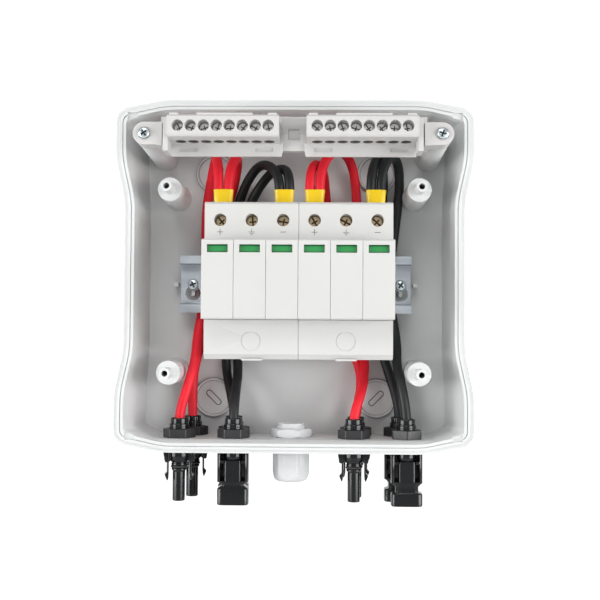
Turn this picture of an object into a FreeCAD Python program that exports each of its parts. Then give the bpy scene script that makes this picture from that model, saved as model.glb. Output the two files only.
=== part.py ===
"""Open solar combiner box: moulded base, DIN rail, two surge protectors, terminal blocks, leads and connectors.

Frame: +Z up, +X to the right, +Y into the wall. The origin is the middle of the back's outer face, on the wall.
Heights out of the wall are measured along -Y. Millimetres and degrees.
"""
import FreeCAD, Part
import Sketcher
import math
import os

Vector = FreeCAD.Vector
doc = FreeCAD.newDocument("solar_combiner_box")

SIZES = {
    # Enclosure
    "box_half_width": 105.0,
    "box_half_height": 103.5,
    "base_depth": 48.0,
    "wall": 3.0,
    "waist_pinch": 5.5,
    "waist_drop": 59.5,
    "shoulder_drop": 34.5,
    "slant_run": 29.0,
    "slant_drop": 5.5,
    "corner_radius": 9.0,
    "bend_radius": 60.0,
    "floor_inset": 7.8,
    "back_taper": 12.0,
    "back_pinch": 1.5,
    "back_edge": 4.0,
    "back_slant_run": 11.0,
    "back_bend_radius": 12.0,
    "mouth_corner": 4.0,
    "mouth_depth": 4.0,
    "lip_bevel": 0.4,
    "rim_depth": 4.2,
    "rim_overhang": 3.2,
    "rim_step_width": 2.1,
    "rim_step_drop": 1.5,
    "groove_inset": 3.7,
    "groove_width": 0.5,
    "groove_depth": 1.0,
    "lip_notch_inset": 9.6,
    "lip_notch_width": 6.0,
    "lip_notch_drop": 7.6,
    "lip_notch_reach": 8.0,
    "lip_notch_depth": 1.3,
    # Middle of the rail, bosses and surge protectors
    "middle_height": -3.5,
    # Cover bosses
    "boss_inset_x": 31.5,
    "boss_inset_z": 49.5,
    "boss_rise": 0.5,
    "boss_radius": 7.0,
    "boss_foot_radius": 7.8,
    "boss_hole_depth": 30.0,
    "boss_height": 42.0,
    "boss_tube_radius": 3.2,
    "boss_tube_height": 57.0,
    "boss_hole_radius": 1.75,
    # Knockout pads
    "pad_inset_x": 54.5,
    "pad_inset_z": 33.5,
    "pad_radius": 12.0,
    "pad_height": 1.5,
    "mark_length": 8.0,
    "mark_width": 4.0,
    "mark_line": 0.6,
    "mark_depth": 0.6,
    # Rail
    "rail_centre": 0.1,
    "rail_end_room": 34.0,
    "rail_width": 35.0,
    "rail_channel": 27.0,
    "rail_sheet": 1.0,
    "rail_seat": 7.5,
    "rail_top": 15.0,
    "rail_screw_inset": 6.9,
    "rail_screw_offset": 0.7,
    "rail_boss_radius": 4.0,
    "keyhole_drop": 5.4,
    "keyhole_radius": 4.6,
    "keyhole_slot": 3.2,
    "rib_width": 2.0,
    "rib_length": 14.0,
    "peg_gap": 1.6,
    "peg_half_rise": 1.2,
    "peg_width": 2.8,
    "peg_height": 9.0,
    # Screws
    "screw_head_radius": 3.2,
    "screw_head_height": 2.0,
    "screw_shank_radius": 1.4,
    "screw_grip": 6.0,
    # Terminal carrier
    "post_inset_x": 23.0,
    "post_inset_z": 27.4,
    "post_top_radius": 6.0,
    "post_foot_radius": 7.6,
    "post_height": 70.0,
    "lug_thick": 14.0,
    "lug_radius": 6.3,
    "riser_reach": 6.6,
    "riser_thick": 3.2,
    "trough_half_width": 7.0,
    "trough_depth": 2.0,
    "trough_edge": 0.8,
    "recess_half_width": 3.2,
    "recess_depth": 0.8,
    "carrier_front": 66.0,
    "carrier_thick": 5.0,
    "carrier_drop": 6.6,
    "carrier_rise": 12.9,
    "carrier_web": 2.0,
    # Terminal housings
    "housing_place": 38.0,
    "housing_width": 61.0,
    "housing_drop": 3.2,
    "housing_height": 12.0,
    "housing_front": 92.0,
    "flange_drop": 6.9,
    "flange_front": 68.0,
    "flange_wing": 1.5,
    "flange_slant": 0.9,
    "housing_tab": 2.8,
    "housing_wall": 1.8,
    "tab_setback": 5.0,
    "latch_window": 10.0,
    "latch_window_height": 2.2,
    "latch_window_depth": 0.7,
    "edge": 1.0,
    "pole_count": 8,
    "pole_pitch": 7.05,
    "driver_hole_radius": 3.15,
    "entry_radius": 2.7,
    "bar_front": 80.0,
    "bar_depth": 8.0,
    "bar_inset": 1.8,
    "bar_screw_radius": 2.8,
    "bar_screw_height": 3.2,
    "bar_bore_radius": 2.3,
    # Surge protectors
    "pole_width": 18.0,
    "spd_left": -24.0,
    "spd_right": 30.0,
    "spd_half_height": 45.0,
    "spd_back": 9.0,
    "spd_shoulder": 59.0,
    "spd_floor": 35.0,
    "spd_gap_half": 22.5,
    "spd_top_bevel": 1.3,
    "spd_bottom_bevel": 3.0,
    "terminal_rise": 34.6,
    "terminal_hole_radius": 3.6,
    "terminal_screw_radius": 3.3,
    "clamp_width": 10.0,
    "clamp_height": 9.0,
    "clamp_depth": 9.2,
    "clamp_wall": 1.4,
    "clamp_back": 35.4,
    "clamp_screw_radius": 1.9,
    "screw_stand": 1.5,
    "screw_room": 5.0,
    "terminal_screw_height": 2.4,
    "strip_gap": 1.2,
    "lead_entry_width": 8.4,
    "lead_entry_depth": 6.8,
    "lead_entry_height": 40.0,
    "ring_radius": 5.7,
    "module_front": 75.0,
    "module_bevel": 0.8,
    "window_width": 11.6,
    "window_height": 4.4,
    "window_drop": 5.3,
    "window_depth": 1.6,
    "flag_thick": 1.4,
    "flag_overlap": 0.4,
    "flag_travel": 5.0,
    "blade_spacing": 28.0,
    "blade_width": 6.0,
    "blade_thick": 1.0,
    "blade_reach": 11.0,
    "blade_root": 3.0,
    "contact_sheet": 0.6,
    "notch_room": 1.3,
    "latch_width": 13.0,
    "latch_thick": 2.6,
    "latch_tail": 1.5,
    "latch_slot": 0.7,
    "latch_bite": 1.6,
    # Clearances
    "slide_gap": 0.3,
    "fit_gap": 0.1,
    "module_gap": 0.2,
    # Panel connectors
    "row_gap": 18.4,
    "row_setback": 0.4,
    "pair_1_front_inset": 36.8,
    "pair_1_back_inset": 42.5,
    "pair_2_front": -35.8,
    "pair_2_back": -37.0,
    "pair_3_front": 35.9,
    "pair_3_back": 37.6,
    "pair_4_front_inset": 37.9,
    "pair_4_back_inset": 40.8,
    "thread_radius": 5.8,
    "thread_gap": 0.2,
    "thread_height": 8.3,
    "tail_radius": 5.1,
    "tail_height": 11.6,
    "lead_radius": 2.9,
    "lead_gap": 0.15,
    "lead_seat": 8.0,
    "lead_straight": 9.5,
    "nut_flats": 16.6,
    "nut_thick": 5.4,
    "gasket_radius": 8.5,
    "gasket_thick": 1.2,
    "collar_radius": 8.9,
    "collar_length": 10.0,
    "plug_nose_radius": 3.9,
    "plug_nose_length": 33.2,
    "finger_reach": 8.2,
    "finger_thick": 2.6,
    "finger_width": 7.0,
    "finger_length": 22.0,
    "barb": 1.6,
    "seal_ring_thick": 1.8,
    "socket_length": 35.1,
    "socket_core_radius": 7.2,
    "socket_wing": 9.2,
    "socket_wing_depth": 9.6,
    "socket_bore_radius": 4.6,
    "socket_bore_depth": 20.0,
    "pin_radius": 1.5,
    "pin_root": 4.0,
    "pin_setback": 6.5,
    "sleeve_radius": 2.4,
    "sleeve_depth": 18.0,
    "notch_start": 8.0,
    "notch_length": 5.0,
    # Gland
    "gland_place": -1.7,
    "gland_rise": 1.0,
    "gland_thread_radius": 10.0,
    "gland_bore_radius": 6.5,
    "gland_flats": 22.0,
    "gland_flange": 5.0,
    "gland_thread_height": 8.3,
    "gland_stub": 8.5,
    "locknut_flats": 24.0,
    "locknut_thick": 5.0,
    "cap_length": 17.8,
    "cap_dome": 6.5,
    "cap_mouth_wall": 1.5,
    "cap_mouth_radius": 6.8,
    "seal_outer": 8.2,
    "seal_length": 5.0,
    "seal_bore_radius": 4.0,
    # Ferrules
    "ferrule_width": 11.8,
    "ferrule_depth": 6.6,
    "ferrule_top": 51.0,
    "ferrule_sleeve_radius": 2.4,
    "ferrule_sleeve_length": 12.0,
}


class Size:
    """A length or angle: the sheet formula that binds it, and the number that it has now."""

    def __init__(self, text, number):
        self.text = text
        self.number = float(number)

    def join(self, sign, other, number):
        """Return the size that this one and other make with sign between them."""
        return Size(f"({self.text} {sign} {text_of(other)})", number)

    def __add__(self, other):
        return self.join("+", other, self.number + number_of(other))

    def __sub__(self, other):
        return self.join("-", other, self.number - number_of(other))

    def __mul__(self, other):
        return self.join("*", other, self.number * number_of(other))

    def __truediv__(self, other):
        return self.join("/", other, self.number / number_of(other))

    def __radd__(self, other):
        return Size(text_of(other), number_of(other)) + self

    def __rsub__(self, other):
        return Size(text_of(other), number_of(other)) - self

    def __rmul__(self, other):
        return Size(text_of(other), number_of(other)) * self

    def __neg__(self):
        return Size(f"(0 - {self.text})", -self.number)


def text_of(value):
    """Formula text of a Size or a plain number."""
    return value.text if isinstance(value, Size) else repr(float(value))


def number_of(value):
    """Number of a Size or a plain number."""
    return value.number if isinstance(value, Size) else float(value)


class Sheet:
    """The document's spreadsheet, read as attributes: size.wall is the cell with that alias."""

    def __init__(self, sizes):
        self.cells = doc.addObject("Spreadsheet::Sheet", "Sizes")
        for row, (alias, number) in enumerate(sizes.items(), 1):
            self.cells.set(f"A{row}", alias)
            self.cells.set(f"B{row}", str(number))
            self.cells.setAlias(f"B{row}", alias)
        doc.recompute()

    def __getattr__(self, alias):
        return Size("Sizes." + alias, self.cells.get(alias))


size = Sheet(SIZES)


def far(height):
    """Distance out of the wall plane of something that stands height above the inner back face."""
    return size.wall + height


def out(height):
    """Y of a plane that stands height above the inner back face."""
    return -far(height)


def bind(obj, **values):
    """Bind each property of obj to its size; place=(x, y, z) binds the placement."""
    for name, value in values.items():
        if name == "place":
            obj.Placement.Base = Vector(*[number_of(part) for part in value])
            for letter, part in zip("xyz", value):
                obj.setExpression(f"Placement.Base.{letter}", text_of(part))
        else:
            setattr(obj, name, number_of(value))
            obj.setExpression(name, text_of(value))
    return obj


TURNS = {
    "x": FreeCAD.Rotation(Vector(0, 1, 0), 90),
    "-y": FreeCAD.Rotation(Vector(1, 0, 0), 90),
    "z": FreeCAD.Rotation(),
}


def block(name, low, high):
    """Box between two corners, each a triple of sizes."""
    box = doc.addObject("Part::Box", name)
    spans = [b - a if isinstance(b, Size) else -(a - b) for a, b in zip(low, high)]
    return bind(box, place=low, Length=spans[0], Width=spans[1], Height=spans[2])


def rod(name, start, radius, length, along="z", top_radius=None):
    """Cylinder, or cone where top_radius is given, from start along x, -y or z."""
    if top_radius is None:
        piece = doc.addObject("Part::Cylinder", name)
        bind(piece, Radius=radius, Height=length)
    else:
        piece = doc.addObject("Part::Cone", name)
        bind(piece, Radius1=radius, Radius2=top_radius, Height=length)
    piece.Placement.Rotation = TURNS[along]
    return bind(piece, place=start)


def hexagon(name, start, flats, length):
    """Hexagonal prism with its axis along z, two corners on the x axis."""
    prism = doc.addObject("Part::Prism", name)
    prism.Polygon = 6
    bind(prism, Circumradius=flats / math.sqrt(3), Height=length)
    return bind(prism, place=start)


def fuse(name, pieces):
    """One solid from pieces that touch or overlap."""
    union = doc.addObject("Part::MultiFuse", name)
    union.Shapes = pieces
    return union


def cut(name, base, tools):
    """Base with tools taken away."""
    result = doc.addObject("Part::Cut", name)
    result.Base = base
    result.Tool = tools[0] if len(tools) == 1 else fuse(name + "_tools", tools)
    return result


def group(name, pieces):
    """Separate solids of one kind in one sub-part."""
    compound = doc.addObject("Part::Compound", name)
    compound.Links = pieces
    return compound


NODES = []


def node(obj, label):
    """Register a finished sub-part under its own name."""
    obj.Label = label
    NODES.append(obj)
    return obj


def new_body(label, place=None):
    """Empty PartDesign body of a sub-part, at place."""
    body = doc.addObject("PartDesign::Body", label)
    if place:
        bind(body, place=place)
    return body


def draw(body, name, role, offset, outlines=(), circles=()):
    """Sketch on an origin plane of body, moved along its normal by offset.

    Each outline is a closed list of corners, each circle a centre and radius, and every point is held
    at its two sizes from the sketch's origin.
    """
    sketch = body.newObject("Sketcher::SketchObject", name)
    plane = next(feature for feature in body.Origin.OriginFeatures if feature.Role == role)
    sketch.AttachmentSupport = (plane, [""])
    sketch.MapMode = "FlatFace"
    sketch.AttachmentOffset = FreeCAD.Placement(Vector(0, 0, number_of(offset)), FreeCAD.Rotation())
    sketch.setExpression("AttachmentOffset.Base.z", text_of(offset))

    def hold(kind, geometry, point, value):
        """Hold one distance from the sketch's origin, or a radius, at its size."""
        places = (geometry,) if kind == "Radius" else (-1, 1, geometry, point)
        index = sketch.addConstraint(Sketcher.Constraint(kind, *places, number_of(value)))
        sketch.setExpression(f"Constraints[{index}]", text_of(value))

    for corners in outlines:
        first = sketch.GeometryCount
        spots = [Vector(number_of(x), number_of(y), 0) for x, y in corners]
        for start, end in zip(spots, spots[1:] + spots[:1]):
            sketch.addGeometry(Part.LineSegment(start, end), False)
        for index, (x, y) in enumerate(corners):
            before = first + (index - 1) % len(corners)
            sketch.addConstraint(Sketcher.Constraint("Coincident", before, 2, first + index, 1))
            hold("DistanceX", first + index, 1, x)
            hold("DistanceY", first + index, 1, y)
    for x, y, radius in circles:
        middle = Vector(number_of(x), number_of(y), 0)
        index = sketch.addGeometry(Part.Circle(middle, Vector(0, 0, 1), number_of(radius)), False)
        hold("DistanceX", index, 3, x)
        hold("DistanceY", index, 3, y)
        hold("Radius", index, 3, radius)
    return sketch


def pad(body, name, role, span, outlines=(), circles=()):
    """Material between two distances along the plane's normal."""
    start, end = span
    feature = body.newObject("PartDesign::Pad", name)
    feature.Profile = draw(body, name + "_sketch", role, start, outlines, circles)
    return bind(feature, Length=-(start - end) if isinstance(end, Size) else end - start)


def pocket(body, name, role, span, outlines=(), circles=()):
    """Hollow between two distances along the plane's normal, cut back from the far one."""
    start, end = span
    feature = body.newObject("PartDesign::Pocket", name)
    feature.Profile = draw(body, name + "_sketch", role, end, outlines, circles)
    return bind(feature, Length=end - start)


def turned(body, name, corners):
    """Solid turned about the body's Z axis from an outline of (radius, height) corners."""
    feature = body.newObject("PartDesign::Revolution", name)
    sketch = draw(body, name + "_sketch", "XZ_Plane", Size("0", 0), [corners])
    feature.Profile = sketch
    feature.ReferenceAxis = (sketch, ["V_Axis"])
    feature.Angle = 360
    return feature


def rectangle(left, right, low, high):
    """Four corners of an upright rectangle."""
    return [(left, low), (right, low), (right, high), (left, high)]


ZERO = Size("0", 0)
MIDDLE = size.middle_height
FLOOR = size.floor_inset - size.box_half_height
FLOOR_OUTSIDE = FLOOR - size.wall


def rounded_wire(corners, y):
    """Closed wire in the plane y through corners (x, z, radius), each rounded by its tangent arc."""
    points = [Vector(x, y, z) for x, z, _ in corners]
    ends = []
    for index, (_, _, radius) in enumerate(corners):
        here = points[index]
        before = (points[index - 1] - here).normalize()
        after = (points[(index + 1) % len(points)] - here).normalize()
        half_angle = before.getAngle(after) / 2
        reach = radius / math.tan(half_angle)
        bisector = (before + after).normalize()
        middle = here + bisector * (radius / math.sin(half_angle) - radius)
        ends.append((here + before * reach, middle, here + after * reach))
    edges = []
    for index, (start, middle, end) in enumerate(ends):
        edges.append(Part.Arc(start, middle, end).toShape())
        edges.append(Part.LineSegment(end, ends[(index + 1) % len(ends)][0]).toShape())
    return Part.Wire(edges)


def waisted_wire(half_width, half_waist, half_height, corner, slant, y):
    """Outline of the enclosure: flat top and bottom, slanted to rounded corners, sides pinched at the waist.

    slant is where the flat top ends and the radius of the bend there.
    """
    shoulder = (size.box_half_height - size.shoulder_drop).number
    waist = (size.box_half_height - size.waist_drop).number
    drop = size.slant_drop.number
    bend = size.bend_radius.number
    quarter = [
        (slant[0], half_height, slant[1]),
        (half_width, half_height - drop, corner),
        (half_width, shoulder, bend),
        (half_waist, waist, bend),
    ]
    right = quarter + [(x, -z, radius) for x, z, radius in reversed(quarter)]
    left = [(-x, -z, radius) for x, z, radius in right]
    return rounded_wire(right + left, y)


def loft(wires):
    """Solid with straight walls from one outline to the next."""
    return Part.makeLoft(wires, True, True)


def enclosure_shell():
    """The waisted tray with its rim, step and gasket groove, before its bosses and holes."""
    half_width = size.box_half_width.number
    half_waist = half_width - size.waist_pinch.number
    half_height = size.box_half_height.number
    back_half_width = half_width - size.back_taper.number
    back_half_waist = back_half_width - size.back_pinch.number
    corner = size.corner_radius.number
    wall = size.wall.number
    depth = size.base_depth.number
    overhang = size.rim_overhang.number
    floor = -FLOOR.number
    edge = size.back_edge.number
    mouth = overhang + wall
    front_slant = (half_width - size.slant_run.number, size.bend_radius.number)
    back_slant = (back_half_width - size.back_slant_run.number, size.back_bend_radius.number)
    mouth_corner = size.mouth_corner.number

    def rim(inset, y):
        """The rim's outline, inset by some distance."""
        radius = max(corner - inset, mouth_corner)
        return waisted_wire(half_width - inset, half_waist - inset, half_height - inset, radius, front_slant, y)

    def back(outset, y):
        """The narrower outline of the back, outset by some distance."""
        return waisted_wire(back_half_width + outset, back_half_waist + outset, floor + outset,
                            mouth_corner + outset, back_slant, y)

    def side(inset, y):
        """The walls' outline just behind the rim, as high as the back and as wide as the inset rim."""
        return waisted_wire(half_width - inset, half_waist - inset, floor + overhang + wall - inset,
                            mouth_corner, back_slant, y)

    lip_start = size.mouth_depth.number - depth
    outside = loft([back(wall - edge / 2, 0), back(wall, -edge), side(overhang, -depth)])
    flange_back = size.rim_depth.number - depth
    flange = loft([rim(0, flange_back), rim(0, -depth)])
    step_width = size.rim_step_width.number
    step_back = size.rim_step_drop.number - depth
    step = loft([rim(-1, -depth - 1), rim(-1, step_back)])
    step = step.cut(loft([rim(step_width, -depth - 1), rim(step_width, step_back)]))
    inset = size.groove_inset.number
    groove_back = size.groove_depth.number - depth
    core = inset + size.groove_width.number
    groove = loft([rim(inset, -depth - 1), rim(inset, groove_back)])
    groove = groove.cut(loft([rim(core, -depth - 1), rim(core, groove_back)]))
    cavity = loft([back(0, -wall), side(mouth, lip_start), rim(mouth - size.lip_bevel.number, -depth - 0.01)])
    return outside.fuse(flange).cut(step).cut(groove).cut(cavity)


def knockout_marks():
    """Shallow obround grooves, one across each knockout pad, all tangent to a ring about the middle."""
    reach = size.mark_length.number / 2
    half = size.mark_width.number / 2
    line = size.mark_line.number
    top = -(size.wall.number + size.pad_height.number)
    depth = size.mark_depth.number
    grooves = []
    for side in (-1, 1):
        for level in (-1, 1):
            rings = []
            for radius in (half, half - line):
                bar = Part.makeBox(2 * reach, depth + 1, 2 * radius, Vector(-reach, top - 1, -radius))
                ends = [Part.makeCylinder(radius, depth + 1, Vector(end, top - 1, 0), Vector(0, 1, 0))
                        for end in (-reach, reach)]
                rings.append(bar.fuse(ends))
            groove = rings[0].cut(rings[1])
            groove.rotate(Vector(), Vector(0, 1, 0), side * level * 45)
            groove.translate(Vector(side * PAD_X.number, 0, (MIDDLE + level * PAD_Z).number))
            grooves.append(groove)
    return Part.makeCompound(grooves)


def coded(name, shape):
    """Document object that holds a shape worked out from the sheet by code."""
    feature = doc.addObject("Part::Feature", name)
    feature.Shape = shape
    return feature


PAD_X = size.box_half_width - size.pad_inset_x
PAD_Z = size.box_half_height - size.pad_inset_z
POST_X = size.box_half_width - size.post_inset_x
POST_Z = size.box_half_height - size.post_inset_z
RAIL_HALF = size.box_half_width - size.rail_end_room
RAIL_WEB = size.rail_seat + size.rail_sheet
SCREW_BORE = size.screw_shank_radius + size.fit_gap
ROWS_MIDDLE = (size.base_depth - size.wall - size.rim_depth) / 2 - size.row_setback
ROWS = {"front": ROWS_MIDDLE + size.row_gap / 2, "back": ROWS_MIDDLE - size.row_gap / 2}
GLAND_ROW = ROWS_MIDDLE + size.gland_rise


def rail_screw_places():
    """X of the two screws that hold the rail."""
    middle = size.rail_centre + size.rail_screw_offset
    return [middle + side * (RAIL_HALF - size.rail_screw_inset) for side in (-1, 1)]


def connector_places():
    """Kind, number, x and height of each panel connector, pair by pair and front before back."""
    half_width = size.box_half_width
    pairs = [
        ("plug", {"front": size.pair_1_front_inset - half_width, "back": size.pair_1_back_inset - half_width}),
        ("socket", {"front": size.pair_2_front, "back": size.pair_2_back}),
        ("plug", {"front": size.pair_3_front, "back": size.pair_3_back}),
        ("socket", {"front": half_width - size.pair_4_front_inset, "back": half_width - size.pair_4_back_inset}),
    ]
    places = []
    counts = {"plug": 0, "socket": 0}
    for kind, pair in pairs:
        for row, x in pair.items():
            counts[kind] += 1
            places.append((kind, counts[kind], x, ROWS[row]))
    return places


def lip_notches():
    """Short gaps in the rim's inner lip, one at each corner."""
    near = size.box_half_width - size.lip_notch_inset - size.lip_notch_width / 2
    high = size.box_half_height - size.lip_notch_drop
    low = high - size.lip_notch_reach
    front = -size.base_depth
    notches = []
    for side in (-1, 1):
        for level in (-1, 1):
            x = sorted([side * near, side * (near + size.lip_notch_width)], key=number_of)
            z = sorted([level * low, level * high], key=number_of)
            notches.append(block("lip_notch", (x[0], front - 1, z[0]), (x[1], front + size.lip_notch_depth, z[1])))
    return notches


def enclosure():
    """The moulded base: shell, cover bosses, posts, rail bosses, pegs, pads and floor holes."""
    root = out(-size.wall / 2)
    added = [coded("shell", enclosure_shell())]
    holes = [coded("knockout_marks", knockout_marks())] + lip_notches()
    for side in (-1, 1):
        x = side * (size.box_half_width - size.boss_inset_x)
        for level in (-1, 1):
            z = MIDDLE + size.boss_rise + level * (size.box_half_height - size.boss_inset_z)
            added.append(rod("boss", (x, root, z), size.boss_foot_radius,
                             size.boss_height + size.wall / 2, "-y", size.boss_radius))
            added.append(rod("boss_tube", (x, root, z), size.boss_tube_radius,
                             size.boss_tube_height + size.wall / 2, "-y"))
            holes.append(rod("boss_hole", (x, out(size.boss_tube_height - size.boss_hole_depth), z),
                             size.boss_hole_radius, size.boss_hole_depth + 1, "-y"))
            added.append(rod("knockout_pad", (side * PAD_X, root, MIDDLE + level * PAD_Z), size.pad_radius,
                             size.pad_height + size.wall / 2, "-y"))
        added.append(rod("post", (side * POST_X, root, POST_Z), size.post_foot_radius,
                         size.post_height + size.wall / 2, "-y", size.post_top_radius))
        holes.append(rod("post_hole", (side * POST_X, out(size.post_height - size.screw_grip), POST_Z),
                         SCREW_BORE, size.screw_grip + 1, "-y"))
    for x, side in zip(rail_screw_places(), (-1, 1)):
        added.append(rod("rail_boss", (x, root, MIDDLE), size.rail_boss_radius,
                         size.rail_seat + size.wall / 2, "-y"))
        added.append(block("rail_boss_rib",
                           (x - size.rib_width / 2, out(size.rail_seat), MIDDLE - size.rib_length / 2),
                           (x + size.rib_width / 2, root, MIDDLE + size.rib_length / 2)))
        holes.append(rod("rail_boss_hole", (x, out(size.fit_gap), MIDDLE), SCREW_BORE,
                         size.rail_seat + 1, "-y"))
        end = size.rail_centre + side * (RAIL_HALF + size.peg_gap + size.peg_width / 2)
        added.append(block("rail_peg", (end - size.peg_width / 2, out(size.peg_height), MIDDLE - size.peg_half_rise),
                           (end + size.peg_width / 2, root, MIDDLE + size.peg_half_rise)))
    for _, _, x, height in connector_places():
        holes.append(rod("connector_hole", (x, out(height), FLOOR_OUTSIDE - 1),
                         size.thread_radius + size.thread_gap, size.wall + 2))
    holes.append(rod("gland_hole", (size.gland_place, out(GLAND_ROW), FLOOR_OUTSIDE - 1),
                     size.gland_thread_radius + size.thread_gap, size.wall + 2))
    node(cut("enclosure", fuse("moulding", added), holes), "enclosure_base")


def rail():
    """Hat-section mounting rail, with a keyhole at each end for its screw."""
    body = new_body("rail")
    half = size.rail_width / 2
    outer = size.rail_channel / 2
    inner = outer - size.rail_sheet
    top = out(size.rail_top)
    under = out(size.rail_top - size.rail_sheet)
    seat = out(size.rail_seat)
    web = out(RAIL_WEB)
    hat = [(top, MIDDLE + half), (top, MIDDLE + inner), (web, MIDDLE + inner), (web, MIDDLE - inner),
           (top, MIDDLE - inner), (top, MIDDLE - half), (under, MIDDLE - half), (under, MIDDLE - outer),
           (seat, MIDDLE - outer), (seat, MIDDLE + outer), (under, MIDDLE + outer), (under, MIDDLE + half)]
    pad(body, "rail_hat", "YZ_Plane", (size.rail_centre - RAIL_HALF, size.rail_centre + RAIL_HALF), [hat])
    through = (far(ZERO), far(size.rail_top))
    screws = rail_screw_places()
    low = MIDDLE - size.keyhole_drop
    pocket(body, "keyhole_round", "XZ_Plane", through, circles=[(x, low, size.keyhole_radius) for x in screws])
    pocket(body, "keyhole_slot", "XZ_Plane", through,
           [rectangle(x - size.keyhole_slot / 2, x + size.keyhole_slot / 2, low, MIDDLE) for x in screws])
    pocket(body, "keyhole_end", "XZ_Plane", through,
           circles=[(x, MIDDLE, size.screw_shank_radius + size.slide_gap) for x in screws])
    node(body, "din_rail")


def pan_screw(name, x, seat, z, grip):
    """Pan-head screw with its head on seat, a height, and its shank grip deep."""
    head = rod(name + "_head", (x, out(seat), z), size.screw_head_radius, size.screw_head_height, "-y",
               size.screw_head_radius * 0.8)
    shank = rod(name + "_shank", (x, out(seat - grip), z), size.screw_shank_radius, grip, "-y")
    return fuse(name, [head, shank])


def rail_screws():
    """The two screws that hold the rail on its bosses."""
    screws = [pan_screw("rail_screw", x, RAIL_WEB, MIDDLE, RAIL_WEB - size.slide_gap)
              for x in rail_screw_places()]
    node(group("rail_screw_set", screws), "rail_screws")


def trough():
    """Shallow trough across the carrier's front between the housings, with a deeper recess between two ribs."""
    body = new_body("trough", (ZERO, ZERO, POST_Z))
    low = -size.carrier_drop
    high = size.carrier_rise
    edge = size.trough_edge
    front = size.carrier_front
    floor = front - size.trough_depth
    middle = (low + high) / 2
    wide = size.trough_half_width
    section = [(out(front + 1), low + edge), (out(front), low + edge), (out(floor + size.trough_edge), low + 4 * edge),
               (out(floor), middle), (out(floor + size.trough_edge), high - 4 * edge), (out(front), high - edge),
               (out(front + 1), high - edge)]
    pad(body, "trough_section", "YZ_Plane", (-wide, wide), [section])
    narrow = size.recess_half_width
    pad(body, "trough_recess", "XZ_Plane", (far(floor - size.recess_depth), far(front)),
        [rectangle(-narrow, narrow, middle - narrow, middle + narrow)])
    return body


def carrier():
    """Moulded bar behind the terminal housings, its ends stepped forward to lugs on the posts."""
    back = size.carrier_front - size.carrier_thick
    web = size.carrier_web
    end = POST_X - size.riser_reach
    low = POST_Z - size.carrier_drop
    high = POST_Z + size.carrier_rise
    lug_front = size.post_height + size.lug_thick
    solids = [block("carrier_bar", (-end, out(size.carrier_front), low), (end, out(back), high))]
    holes = [trough()]
    inner = size.trough_half_width + web
    for left, right in ((web - end, -inner), (inner, end - web)):
        holes.append(block("carrier_channel", (left, out(size.carrier_front - web), low + web),
                           (right, out(back - 1), high - web)))
    for side in (-1, 1):
        x = side * POST_X
        near = end - size.riser_thick
        spans = sorted([side * near, side * end], key=number_of)
        reach = sorted([side * near, x], key=number_of)
        solids += [
            block("carrier_riser", (spans[0], out(lug_front), low), (spans[1], out(back), POST_Z + size.lug_radius)),
            block("carrier_lug", (reach[0], out(lug_front), POST_Z - size.lug_radius),
                  (reach[1], out(size.post_height), POST_Z + size.lug_radius)),
            rod("carrier_lug_end", (x, out(size.post_height), POST_Z), size.lug_radius, size.lug_thick, "-y"),
        ]
        holes.append(rod("carrier_lug_hole", (x, out(size.post_height - 1), POST_Z),
                         size.screw_shank_radius + size.slide_gap, size.lug_thick + 2, "-y"))
    node(cut("carrier", fuse("carrier_solid", solids), holes), "terminal_carrier")
    grip = size.lug_thick + size.screw_grip - size.slide_gap
    screws = [pan_screw("carrier_screw", side * POST_X, lug_front, POST_Z, grip) for side in (-1, 1)]
    node(group("carrier_screw_set", screws), "carrier_screws")


def pole_places():
    """X of each pole of a terminal housing, measured from the housing's middle."""
    middle = (size.pole_count - 1) / 2
    return [(pole - middle) * size.pole_pitch for pole in range(int(number_of(size.pole_count)))]


BAR_MIDDLE = size.bar_front - size.bar_depth / 2
HOUSING_LOW = POST_Z - size.housing_drop
HOUSING_HIGH = HOUSING_LOW + size.housing_height
HOUSING_MIDDLE = HOUSING_LOW + size.housing_height / 2
BAR_LOW = HOUSING_LOW + size.bar_inset
BAR_HIGH = HOUSING_HIGH - size.bar_inset


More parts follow.
